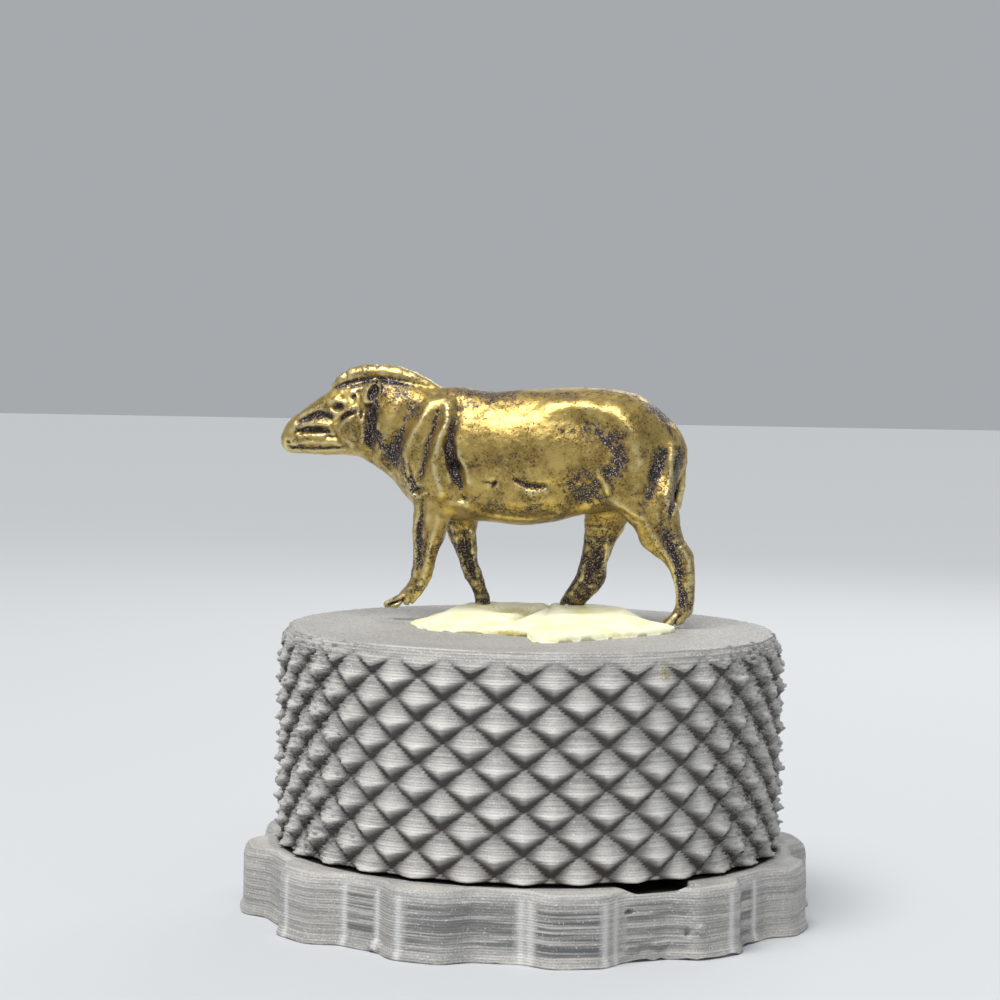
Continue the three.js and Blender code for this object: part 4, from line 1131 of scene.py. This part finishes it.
# %% Close the pinches
def close_pinches(values):
    for _ in range(12):
        found = 0
        for first, second in ((0, 1), (0, 2), (1, 2)):
            here, ahead, beside, across = (
                tuple(
                    slice(1, None) if (axis == first and a) or (axis == second and b) else
                    slice(None, -1) if axis in (first, second) else slice(None)
                    for axis in range(3)
                )
                for a, b in ((0, 0), (1, 0), (0, 1), (1, 1))
            )
            for pair, others in (((here, across), (ahead, beside)), ((ahead, beside), (here, across))):
                pinched = (values[pair[0]] < 0) & (values[pair[1]] < 0)
                pinched &= (values[others[0]] >= 0) & (values[others[1]] >= 0)
                lower = values[others[0]] < values[others[1]]
                values[others[0]][pinched & lower] = -1e-3
                values[others[1]][pinched & ~lower] = -1e-3
                found += int(pinched.sum())
        if not found:
            break


# %% Join the crossed cells into a skin
def skin_of(values, lines):
    inside = values < 0
    shape = [n - 1 for n in values.shape]
    corner = lambda array, c: array[c[0]:c[0] + shape[0], c[1]:c[1] + shape[1], c[2]:c[2] + shape[2]]
    count = sum(corner(inside, c).astype(np.int8) for c in CUBE)
    cells = np.argwhere((count > 0) & (count < 8))
    number = np.full(shape, -1, dtype=np.int64)
    number[tuple(cells.T)] = np.arange(len(cells))
    total = np.zeros((len(cells), 3))
    crossings = np.zeros(len(cells))
    for a in CUBE:
        for b in CUBE:
            if sum(b) - sum(a) != 1 or sum(abs(p - q) for p, q in zip(a, b)) != 1:
                continue
            at, to = cells + a, cells + b
            start, end = values[tuple(at.T)], values[tuple(to.T)]
            crossed = (start < 0) != (end < 0)
            share = np.where(crossed, start / np.where(crossed, start - end, 1.0), 0.0)[:, None]
            place = np.stack([lines[n][at[:, n]] for n in range(3)], axis=1) * (1 - share)
            place += np.stack([lines[n][to[:, n]] for n in range(3)], axis=1) * share
            total += place * crossed[:, None]
            crossings += crossed
    points = total / crossings[:, None]
    faces = []
    for axis in range(3):
        one, two = [n for n in range(3) if n != axis]
        step = np.eye(3, dtype=int)
        low = np.take(inside, range(values.shape[axis] - 1), axis=axis)
        high = np.take(inside, range(1, values.shape[axis]), axis=axis)
        edges = np.argwhere(low != high)
        edges = edges[(edges[:, one] > 0) & (edges[:, two] > 0)]
        edges = edges[(edges[:, one] < shape[one]) & (edges[:, two] < shape[two])]
        ring = [edges - step[one] - step[two], edges - step[two], edges, edges - step[one]]
        quads = np.stack([number[tuple(cell.T)] for cell in ring], axis=1)
        solid_first = low[tuple(edges.T)]
        flip = solid_first if axis == 1 else ~solid_first
        quads[flip] = quads[flip][:, ::-1]
        faces.append(quads)
    return points, np.concatenate(faces)


# %% [markdown]
# The wrapped points lie near the surface. Two short steps along the slope of the rule put them on it.

# %% Settle the points and wrap the tapir
SLOPE_STEP = 0.02


def settle(rule, points, turns=2):
    for _ in range(turns):
        x, y, z = points.T.astype(np.float32)
        here = rule(x, y, z)
        slope = np.stack([
            rule(x + SLOPE_STEP, y, z) - here,
            rule(x, y + SLOPE_STEP, z) - here,
            rule(x, y, z + SLOPE_STEP) - here,
        ], axis=1) / SLOPE_STEP
        steepness = np.maximum((slope**2).sum(axis=1), 0.25)
        points = points + slope * np.clip(-here / steepness, -0.05, 0.05)[:, None]
    return points


# The grid is finer in side view, where the carving shows, than across the body
SKIN_STEP = 0.122
ACROSS_STEP = 0.16
lines = [
    grid_line(-20.0, 15.9, SKIN_STEP),
    grid_line(-5.4, 5.4, ACROSS_STEP),
    grid_line(-0.4, 20.9, SKIN_STEP),
]
values = read_rule(tapir_distance, lines)
close_pinches(values)
skin_points, skin_faces = skin_of(values, lines)
skin_points = settle(tapir_distance, skin_points)
print("tapir skin: points", len(skin_points), "squares", len(skin_faces))

# %% [markdown]
# ## Casting texture and patina
# Brass cast in a fine mould keeps a slightly lumpy skin. Dark patina stays in the hollows, where polishing
# doesn't reach. To know the hollows, a copy of the skin is smoothed: where the smooth copy lies outside the
# real skin, there is a hollow, and the distance says how deep it is.

# %% Find the hollows
def smoothed(points, edges, turns):
    count = np.bincount(edges.ravel(), minlength=len(points))[:, None]
    for _ in range(turns):
        total = np.stack([
            np.bincount(edges[:, 0], weights=points[edges[:, 1], n], minlength=len(points))
            + np.bincount(edges[:, 1], weights=points[edges[:, 0], n], minlength=len(points))
            for n in range(3)
        ], axis=1)
        points = 0.5 * points + 0.5 * total / np.maximum(count, 1)
    return points


def point_normals(points, faces):
    a, b, c, d = (points[faces[:, n]] for n in range(4))
    across = np.cross(c - a, d - b)
    normals = np.zeros_like(points)
    for n in range(4):
        for axis in range(3):
            normals[:, axis] += np.bincount(faces[:, n], weights=across[:, axis], minlength=len(points))
    return normals / np.maximum(np.linalg.norm(normals, axis=1, keepdims=True), 1e-12)


skin_edges = np.concatenate([skin_faces[:, [n, (n + 1) % 4]] for n in range(4)])
skin_edges = np.unique(np.sort(skin_edges, axis=1), axis=0)
skin_normals = point_normals(skin_points, skin_faces)
fine_hollow = ((smoothed(skin_points, skin_edges, 10) - skin_points) * skin_normals).sum(axis=1)
broad_hollow = ((smoothed(skin_points, skin_edges, 85) - skin_points) * skin_normals).sum(axis=1)
print("hollow depths in mm:", round(float(fine_hollow.max()), 3), round(float(broad_hollow.max()), 3))

# %% Roughen the casting and lay down the mesh
rough_head = 1.0 + 0.8 * eased(skin_points[:, 0], -9.0, -12.0)
casting = 0.020 * grain(skin_points, 0.9, 3) + 0.016 * grain(skin_points, 0.42, 4)
casting += 0.012 * grain(skin_points, 0.24, 5)
ground = eased(skin_points[:, 2], 0.02, 0.25)
skin_points = skin_points + skin_normals * (casting * rough_head * ground)[:, None]


def mesh_object(name, points, faces, attributes=None):
    """A smooth-shaded mesh object from points in millimetres."""
    made = bpy.data.meshes.new(name)
    made.from_pydata((np.asarray(points) * MM).tolist(), [], np.asarray(faces).tolist())
    for label, amounts in (attributes or {}).items():
        layer = made.attributes.new(label, "FLOAT", "POINT")
        layer.data.foreach_set("value", np.asarray(amounts, dtype=np.float32))
    made.shade_smooth()
    made.update()
    piece = bpy.data.objects.new(name, made)
    bpy.context.collection.objects.link(piece)
    return piece


# %% [markdown]
# A hollow alone doesn't say where the patina stayed. The photo shows whole patches of it behind the shoulder,
# at the neck, on the rump, in front of the thigh and on the legs. They are painted like the relief, in strokes
# whose third number is now the amount of patina. The far legs are darker than the near ones; that extra
# darkness is painted shade.

# %% Paint the patches of patina
STAINS = [
    (0.75, [[-11.2, 15.7, 0.55], [-10.3, 13.9, 0.75], [-9.2, 13.1, 0.8], [-8.7, 12.2, 0.5]]),
    (0.45, [[-7.9, 16.6, 0.3], [-8.4, 15.2, 0.6], [-8.9, 13.7, 0.7]]),
    (0.30, [[-14.3, 18.5, 0.7], [-12.3, 18.95, 0.8], [-10.4, 18.95, 0.7], [-8.2, 18.6, 0.5]]),
    (0.35, [[-10.9, 17.2, 0.8], [-11.0, 16.2, 0.7], [-11.3, 15.0, 0.7], [-11.5, 13.9, 0.7]]),
    (0.32, [[-5.6, 16.6, 0.3], [-6.2, 14.2, 0.5], [-6.4, 12.5, 0.5], [-6.9, 11.0, 0.3]]),
    (0.50, [
        [-3.8, 17.4, 0.2], [-4.5, 15.2, 0.5], [-4.5, 13.3, 0.8], [-4.0, 11.9, 0.95], [-3.6, 10.9, 0.8],
    ]),
    (0.30, [[-5.2, 18.3, 0.4], [-3.2, 18.1, 0.5], [-1.0, 18.1, 0.3], [3.0, 18.2, 0.4], [7.5, 18.3, 0.3]]),
    (0.35, [[-8.1, 13.4, 0.2], [-8.1, 11.6, 0.6], [-7.5, 10.3, 0.6]]),
    (1.00, [[4.2, 15.9, 0.3], [7.0, 15.4, 0.55], [8.4, 14.5, 0.6], [9.2, 13.0, 0.6], [8.9, 11.9, 0.3]]),
    (0.85, [[5.0, 11.1, 0.6], [6.2, 10.5, 0.9], [7.2, 10.4, 0.7], [8.0, 9.6, 0.4]]),
    (0.60, [[11.9, 13.8, 0.6], [11.7, 12.6, 0.9], [11.4, 11.3, 0.6], [10.9, 9.6, 0.5]]),
    (0.22, [[13.35, 14.0, 0.5], [13.3, 11.5, 0.8], [13.0, 9.2, 0.9]]),
    (0.70, [[-2.4, 9.5, 0.4], [1.0, 9.0, 0.4], [4.6, 9.2, 0.4]]),
    (0.34, [[0.7, 11.5, 0.3], [2.1, 11.1, 0.45], [3.7, 10.95, 0.3]]),
    (0.22, [[-1.7, 11.2, 0.4], [-0.45, 11.2, 0.4]]),
    (0.30, [[10.8, 17.6, 0.4], [12.3, 16.5, 0.7]]),
    (0.34, [[-17.3, 15.5, 0.6], [-15.95, 16.0, 0.8], [-14.6, 16.2, 0.7]]),
    (0.30, [[-17.4, 14.9, 0.5], [-15.7, 14.95, 0.8], [-14.3, 14.7, 0.6]]),
    (0.16, [[-18.3, 13.5, 0.6], [-16.0, 13.55, 0.6], [-13.9, 13.45, 0.6]]),
    (0.24, [[-14.0, 16.9, 0.9]]),
    (0.28, [[-12.65, 17.7, 0.9]]),
    (0.24, [[-13.8, 16.05, 0.5], [-12.5, 16.45, 0.6]]),
    (0.30, [[-6.8, 9.4, 0.3], [-6.9, 7.6, 0.7], [-6.95, 5.8, 0.5], [-7.0, 4.4, 0.3]]),
    (0.50, [[12.4, 8.2, 0.4], [13.2, 6.6, 0.4], [13.8, 4.0, 0.35], [14.0, 1.5, 0.35]]),
    (0.30, [[-11.15, 17.75, 0.9], [-10.95, 18.2, 0.7]]),
    (0.95, [[-9.6, 17.9, 0.36], [-8.2, 17.5, 0.46], [-7.2, 16.7, 0.36]]),
    (0.55, [[-2.9, 17.3, 0.42], [0.5, 17.6, 0.34]]),
    (0.80, [[9.5, 17.9, 0.25], [11.6, 16.9, 0.42], [12.8, 15.4, 0.42], [13.2, 13.0, 0.3]]),
    (0.50, [[-2.3, 12.9, 0.2], [1.5, 13.2, 0.3], [4.5, 12.2, 0.3]]),
    (0.60, [[5.8, 12.2, 0.35], [7.4, 11.6, 0.45], [8.6, 12.6, 0.4]]),
]
LEG_TOP = 9.0
FAR_LEG_STAIN_AND_SHADE = 0.64
NEAR_LEG_STAIN = 0.36


def stain_and_shade_at(points):
    x, y, z = points.T
    bent_x = x + 0.16 * grain(points, 0.9, 33)
    bent_z = z + 0.16 * grain(points, 0.9, 34)
    painted = stroke_rise(STAINS, bent_x, bent_z)
    # Patina on the legs, more on the far legs; the far side's extra darkness is painted shade under and behind
    # the body
    on_leg = eased(z, LEG_TOP, LEG_TOP - 3.6)
    far_side = eased(y, -0.4, 0.8)
    leg_stain_and_shade = NEAR_LEG_STAIN + (FAR_LEG_STAIN_AND_SHADE - NEAR_LEG_STAIN) * far_side
    return painted * (1 - far_side * on_leg) + on_leg * leg_stain_and_shade


# The tapir stands on the drum's top, a little behind the middle, with its nose turned away from the camera
TAPIR_PLACE = (-1.73, 4.63)
TAPIR_TURN = math.radians(-8)


def on_plinth(points):
    cosine, sine = math.cos(TAPIR_TURN), math.sin(TAPIR_TURN)
    x, y, z = np.asarray(points).T
    return np.stack([
        TAPIR_PLACE[0] + cosine * x - sine * y,
        TAPIR_PLACE[1] + sine * x + cosine * y,
        DRUM_TOP + z,
    ], axis=1)


hollow = 0.55 * eased(fine_hollow, 0.004, 0.06) + 0.55 * eased(broad_hollow, 0.05, 0.40)
ridge = eased(-fine_hollow, 0.004, 0.05)
tapir_marks = {"hollow": hollow, "ridge": ridge, "stain_and_shade": stain_and_shade_at(skin_points)}
tapir = mesh_object("tapir_casting", on_plinth(skin_points), skin_faces, tapir_marks)

# %% [markdown]
# ## The brass
# Rubbed brass is bright on every ridge and dark in every hollow, and its smooth flanks are peppered with tiny
# pits that hold the patina too. The colour is mixed from polished brass, tarnished brass and patina, by the
# hollows in the mesh, by the stains, which carry painted shade on the far legs, and by noise at three sizes.
# Painted glints, pale specks of light, sit on the patina.

# %% Make the brass
PATINA = (0.035, 0.021, 0.022, 1.0)
BRASS_LIGHT = (0.60, 0.44, 0.14, 1.0)
BRASS_TARNISHED = (0.30, 0.20, 0.05, 1.0)
BRASS_POLISHED = (0.93, 0.82, 0.46, 1.0)
GLINT = (0.80, 0.70, 0.60, 1.0)


def cast_brass():
    material, tree, shader, place = new_finish("brass_casting")
    even = in_millimetres(tree, place)
    blotch = noise(tree, even, 2.4, 3.0)
    mottle = noise(tree, even, 0.55, 4.0, 0.65)
    speck = noise(tree, even, 0.16, 2.0, 0.6)
    glint = noise(tree, even, 0.11, 1.0)
    hollow_mark = attribute(tree, "hollow")
    ridge_mark = attribute(tree, "ridge")
    stain_and_shade_mark = attribute(tree, "stain_and_shade")
    tarnish = (mottle * 0.5 + blotch * 0.5 + stain_and_shade_mark * 0.12).eased(0.38, 0.62)
    metal = blend_colour(tree, tarnish, BRASS_LIGHT, BRASS_TARNISHED)
    polished = blend_colour(tree, ridge_mark * 0.6, metal, BRASS_POLISHED)
    depth = hollow_mark + stain_and_shade_mark * 1.2 - ridge_mark * 0.35
    dark = (depth + (mottle - 0.5) * 1.9 + (blotch - 0.5) * 0.7 + (speck - 0.5) * 0.8).eased(0.26, 0.84)
    pits = (speck + (blotch - 0.5) * 0.5 + hollow_mark * 0.05).eased(0.58, 0.65)
    cover = (dark + pits * 0.7).step("MINIMUM", 1.0)
    colour = blend_colour(tree, cover, polished, PATINA)
    # Painted glints: pale specks of light on the patina
    painted_glints = glint.eased(0.58, 0.68) * dark
    colour = blend_colour(tree, painted_glints * 0.75, colour, GLINT)
    feed(tree, shader.inputs["Base Color"], colour)
    feed(tree, shader.inputs["Metallic"], 1.0 - cover * 0.45)
    feed(tree, shader.inputs["Roughness"], 0.34 + mottle * 0.16 + cover * 0.18)
    shader.inputs["Coat Weight"].default_value = 0.25
    shader.inputs["Coat Roughness"].default_value = 0.30
    add_bump(tree, shader, mottle * 0.7 + speck * 0.5 - pits * 0.6, 0.06, 0.8)
    return material


brass = cast_brass()
tapir.data.materials.append(brass)
for corner in (tapir.bound_box[0], tapir.bound_box[6]):
    print("corner of the tapir's box in metres:", [round(v, 4) for v in corner])

# %% [markdown]
# ## The putty
# The putty was pressed flat by hand, in two lobes that meet in a notch in front. Each lobe is a closed loop of
# places on the drum's top. The surface rises from the nearer rim to the lobe's thickness, with a fold where the
# lobes meet, dents from fingers, and a low wall where each foot pushed the putty up.

# %% Press the putty
PUTTY_CENTRE = np.array([1.0, -1.4])
PUTTY_THICKNESS = 1.2
LEFT_LOBE = [
    (-9.7, -0.9), (-8.4, -4.1), (-7.0, -5.6), (-4.6, -6.4), (-2.7, -6.8), (-0.8, -7.9),
    (0.6, -8.4), (2.5, -2.0), (2.5, 5.0), (1.6, 9.6), (-1.1, 9.4), (-3.1, 8.8),
    (-4.9, 8.0), (-6.6, 6.6), (-7.9, 4.6), (-8.8, 2.2),
]
RIGHT_LOBE = [
    (-0.32, -8.9), (-0.16, -11.7), (1.0, -13.0), (3.6, -11.0), (6.7, -8.1), (9.2, -5.5),
    (11.4, -2.9), (10.3, -0.2), (9.4, 3.2), (8.3, 6.2), (6.6, 8.1), (4.0, 8.7),
    (1.3, 9.6), (0.6, 6.1), (-0.5, 0.5), (-1.3, -4.4), (-0.5, -7.0),
]


def rounded_loop(points, turns=2):
    """Cuts the corners of a closed loop, twice over."""
    loop = np.array(points)
    for _ in range(turns):
        after = np.roll(loop, -1, axis=0)
        loop = np.stack([0.8 * loop + 0.2 * after, 0.2 * loop + 0.8 * after], axis=1).reshape(-1, 2)
    return loop


def depth_inside(loop, x, y):
    """Distance from places to a closed loop, above zero inside it."""
    best = np.full(x.shape, 1e6)
    inside = np.zeros(x.shape, dtype=bool)
    for a, b in zip(loop, np.roll(loop, -1, axis=0)):
        run = b - a
        t = np.clip(((x - a[0]) * run[0] + (y - a[1]) * run[1]) / (run @ run), 0, 1)
        best = np.minimum(best, np.hypot(x - a[0] - t * run[0], y - a[1] - t * run[1]))
        crosses = (a[1] > y) != (b[1] > y)
        inside ^= crosses & (x < a[0] + (y - a[1]) * run[0] / (run[1] if run[1] else 1e-9))
    return np.where(inside, best, -best)


left_loop, right_loop = rounded_loop(LEFT_LOBE), rounded_loop(RIGHT_LOBE)
FEET_IN_PUTTY = [(-3.9, 6.9), (3.1, 6.5)]


def lobe_height(depth, thickness, edge, climb):
    """A low rounded edge, then a rise to the lobe's full thickness over a climb."""
    return edge * np.sqrt(np.clip(depth / 0.22, 0, 1)) + (thickness - edge) * eased(depth / climb, 0.0, 1.0)


# The fold where the two lobes were pressed together: width, then places and how far each is pressed in
FOLD = [(0.55, [[-1.9, -3.0, -0.10], [-1.2, 0.6, -0.40], [-0.2, 4.4, -0.55], [1.3, 7.4, -0.30]])]


def dent(x, y, middle, size):
    """A soft oval spot: 1 in its middle, and near 0 beyond its size."""
    return np.exp(-(((x - middle[0]) / size[0]) ** 2) - ((y - middle[1]) / size[1]) ** 2)


def putty_height(x, y):
    """The putty's thickness at places."""
    flat_place = np.stack([x, y, 0 * x], axis=1)
    waver = 0.22 * grain(flat_place, 1.3, 14) + 0.10 * grain(flat_place, 0.5, 15)
    climb = 3.0 - 2.1 * eased(y, 1.0, 7.0)
    left_full = 0.62 + 0.50 * eased(y, -3.0, 7.0)
    right_full = 0.88 + 0.26 * eased(y, -6.0, 5.0)
    left = lobe_height(depth_inside(left_loop, x, y) + waver, left_full, 0.28, climb)
    right = lobe_height(depth_inside(right_loop, x, y) + waver, right_full, 0.42, climb)
    left -= 0.42 * dent(x, y, (-2.0, 4.6), (2.6, 2.0))
    right -= 0.26 * dent(x, y, (4.4, 2.6), (3.6, 1.7))
    right += 0.10 * dent(x, y, (4.5, -1.0), (5.0, 1.0))
    right -= 0.10 * dent(x, y, (5.8, 4.6), (0.9, 0.9))
    right -= 0.08 * dent(x, y, (2.3, 0.2), (0.9, 0.7))
    height = np.maximum(left, right)
    height += stroke_rise(FOLD, x, y) * (height > 0.35)
    for foot_x, foot_y in FEET_IN_PUTTY:
        height += 0.12 * np.exp(-(((np.hypot(x - foot_x, y - foot_y) - 1.1) / 0.45) ** 2)) * (height > 0.3)
    height += 0.05 * grain(flat_place, 1.9, 11) * eased(height, 0.1, 0.5)
    height += 0.03 * grain(flat_place, 0.7, 12) * eased(height, 0.1, 0.5)
    return np.clip(height, 0.0, PUTTY_THICKNESS)


# %% [markdown]
# The putty's mesh is a round grid. A search along each bearing finds the outermost place that either lobe
# covers, and the rings are spaced from the middle to there.

# %% Lay the putty's mesh
PUTTY_SIDES = 420
PUTTY_RINGS = 110
bearing = np.linspace(0, TAU, PUTTY_SIDES, endpoint=False)
trial = np.linspace(14.5, 3.0, 600)
reached = np.zeros(PUTTY_SIDES)
for distance_out in trial:
    x = PUTTY_CENTRE[0] + distance_out * np.cos(bearing)
    y = PUTTY_CENTRE[1] + distance_out * np.sin(bearing)
    covered = np.maximum(depth_inside(left_loop, x, y), depth_inside(right_loop, x, y)) > 0
    reached = np.where((reached == 0) & covered, distance_out, reached)
shares = 1 - (1 - np.linspace(0, 1, PUTTY_RINGS + 1)[1:]) ** 1.25
putty_points = [[*PUTTY_CENTRE, DRUM_TOP + float(putty_height(*PUTTY_CENTRE[:, None])[0])]]
for share in shares:
    x = PUTTY_CENTRE[0] + share * reached * np.cos(bearing)
    y = PUTTY_CENTRE[1] + share * reached * np.sin(bearing)
    thick = putty_height(x, y) if share < 1 else 0 * x
    putty_points.extend(np.stack([x, y, DRUM_TOP + thick], axis=1).tolist())
putty_points.append([*PUTTY_CENTRE, DRUM_TOP])
putty_faces = []
for ring in range(PUTTY_RINGS):
    for side in range(PUTTY_SIDES):
        beside = (side + 1) % PUTTY_SIDES
        out, out_beside = 1 + ring * PUTTY_SIDES + side, 1 + ring * PUTTY_SIDES + beside
        if ring == 0:
            putty_faces.append([0, out, out_beside])
        else:
            putty_faces.append([out - PUTTY_SIDES, out, out_beside, out_beside - PUTTY_SIDES])
        if ring == PUTTY_RINGS - 1:
            putty_faces.append([len(putty_points) - 1, out_beside, out])
putty_array = np.array(putty_points)
# Painted shade on the putty: olive under the front edge on the left, in the fold where the lobes meet, and on the
# slope behind the fold that faces away
putty_shade_amount = 1 - eased(putty_array[:, 2] - DRUM_TOP, 0.1, 0.55)
shade_in_front_on_the_left = dent(putty_array[:, 0], putty_array[:, 1], (-1.6, -7.6), (2.2, 2.0))
putty_shade_amount *= 0.25 + 0.75 * shade_in_front_on_the_left
putty_shade_amount = np.maximum(putty_shade_amount, -1.5 * stroke_rise(FOLD, putty_array[:, 0], putty_array[:, 1]))
putty_shade_amount = np.maximum(putty_shade_amount, 0.75 * dent(putty_array[:, 0], putty_array[:, 1], (-1.4, 4.8), (2.8, 1.6)))
putty_mesh = bpy.data.meshes.new("putty_lump")
putty_mesh.from_pydata((putty_array * MM).tolist(), [], putty_faces)
layer = putty_mesh.attributes.new("putty_shade", "FLOAT", "POINT")
layer.data.foreach_set("value", putty_shade_amount.astype(np.float32))
putty_mesh.shade_smooth()
putty = bpy.data.objects.new("putty_lump", putty_mesh)
bpy.context.collection.objects.link(putty)


# %% Make the putty's finish
def pale_putty():
    material, tree, shader, place = new_finish("pale_putty")
    even = in_millimetres(tree, place)
    cloud = noise(tree, even, 2.2, 3.0)
    fine = noise(tree, even, 0.3, 3.0)
    dirt = noise(tree, even, 0.16, 2.0, 0.6)
    putty_shade = attribute(tree, "putty_shade")
    tone = blend_colour(tree, cloud.eased(0.42, 0.70), (0.93, 0.91, 0.66, 1.0), (0.88, 0.84, 0.46, 1.0))
    # Painted shade: an olive tone where the putty lies in shade
    tone = blend_colour(tree, (putty_shade + (fine - 0.5) * 0.6).eased(0.25, 0.90), tone, (0.50, 0.43, 0.12, 1.0))
    tone = blend_colour(tree, (dirt + putty_shade * 0.12).eased(0.66, 0.74) * 0.7, tone, (0.26, 0.20, 0.10, 1.0))
    blemish = add_node(tree, "ShaderNodeVectorMath", {0: even, 1: (4.1, -12.0, 22.9)}, operation="DISTANCE")
    mark = (Reading(tree, blemish.outputs["Value"]) + (dirt - 0.5)).eased(0.36, 0.16)
    tone = blend_colour(tree, mark * 0.8, tone, (0.30, 0.22, 0.10, 1.0))
    feed(tree, shader.inputs["Base Color"], tone)
    feed(tree, shader.inputs["Roughness"], 0.5 + fine * 0.15)
    shader.inputs["Subsurface Weight"].default_value = 0.12
    shader.inputs["Subsurface Radius"].default_value = (0.0006, 0.0005, 0.0002)
    add_bump(tree, shader, cloud * 0.5 + fine * 0.5, 0.10, 0.5)
    return material


putty.data.materials.append(pale_putty())
print("putty faces:", len(putty.data.polygons))

# %% [markdown]
# ## Each piece takes its node's place
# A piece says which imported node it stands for, which body it moves with, and which finish of the record it has.

# %% Hand the pieces over to the frame
PIECES = [
    (foot, "scalloped_foot", "grey_print"),
    (drum, "knurled_drum", "grey_print"),
    (putty, "putty_pad", "putty"),
    (tapir, "tapir", "brass"),
]
for piece, node, slot in PIECES:
    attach(piece, "root")
    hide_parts(node)
    print(piece.name, "stands for", node)

# %% [markdown]
# ## Floor and light
# A pale floor and soft light, as in a small photo tent. The main light falls from above, so the lower faces of
# the knurl stay dark. Brass shows its shape only through what it mirrors, so a panel hangs above in front for
# its upper flank to mirror, and a weaker one behind gives it an edge.

# %% Lay the floor
FLOOR_HALF = 2.0
corners = [(-1, -1), (1, -1), (1, 1), (-1, 1)]
floor_mesh = bpy.data.meshes.new("floor")
floor_mesh.from_pydata([(FLOOR_HALF * x, FLOOR_HALF * y, 0) for x, y in corners], [], [(0, 1, 2, 3)])
floor = bpy.data.objects.new("floor", floor_mesh)
bpy.context.collection.objects.link(floor)
paper = bpy.data.materials.new("pale_paper")
paper.use_nodes = True
paper.node_tree.nodes["Principled BSDF"].inputs["Base Color"].default_value = (0.58, 0.60, 0.62, 1.0)
paper.node_tree.nodes["Principled BSDF"].inputs["Roughness"].default_value = 0.8
floor.data.materials.append(paper)


# %% Hang the lights
def soft_light(name, place, target, size, power):
    """A white rectangle of light, turned to face its target."""
    light = bpy.data.lights.new(name, "AREA")
    light.shape = "RECTANGLE"
    light.size, light.size_y = size
    light.energy = power
    lamp = bpy.data.objects.new(name, light)
    lamp.location = place
    lamp.rotation_euler = (Vector(target) - Vector(place)).to_track_quat("-Z", "Y").to_euler()
    bpy.context.collection.objects.link(lamp)


MIDDLE = (0.0, 0.0, 0.025)


def far_light(name, heading, spread, strength, colour):
    """A wide, even light from far away. Its heading is the way it shines."""
    light = bpy.data.lights.new(name, "SUN")
    light.angle = math.radians(spread)
    light.energy = strength
    light.color = colour
    lamp = bpy.data.objects.new(name, light)
    lamp.rotation_euler = Vector(heading).to_track_quat("-Z", "Y").to_euler()
    bpy.context.collection.objects.link(lamp)


far_light("daylight", (0.25, 0.28, -1.0), 32.0, 1.9, (1.0, 0.975, 0.94))
soft_light("upper_panel", (-0.06, -0.17, 0.34), MIDDLE, (0.26, 0.12), 0.50)
soft_light("back_panel", (0.10, 0.26, 0.20), MIDDLE, (0.20, 0.08), 0.2)

world = bpy.data.worlds.new("studio")
bpy.context.scene.world = world
world.use_nodes = True
world.node_tree.nodes["Background"].inputs["Color"].default_value = (0.38, 0.40, 0.42, 1.0)
world.node_tree.nodes["Background"].inputs["Strength"].default_value = 1.0
bpy.context.scene.view_settings.view_transform = "Standard"
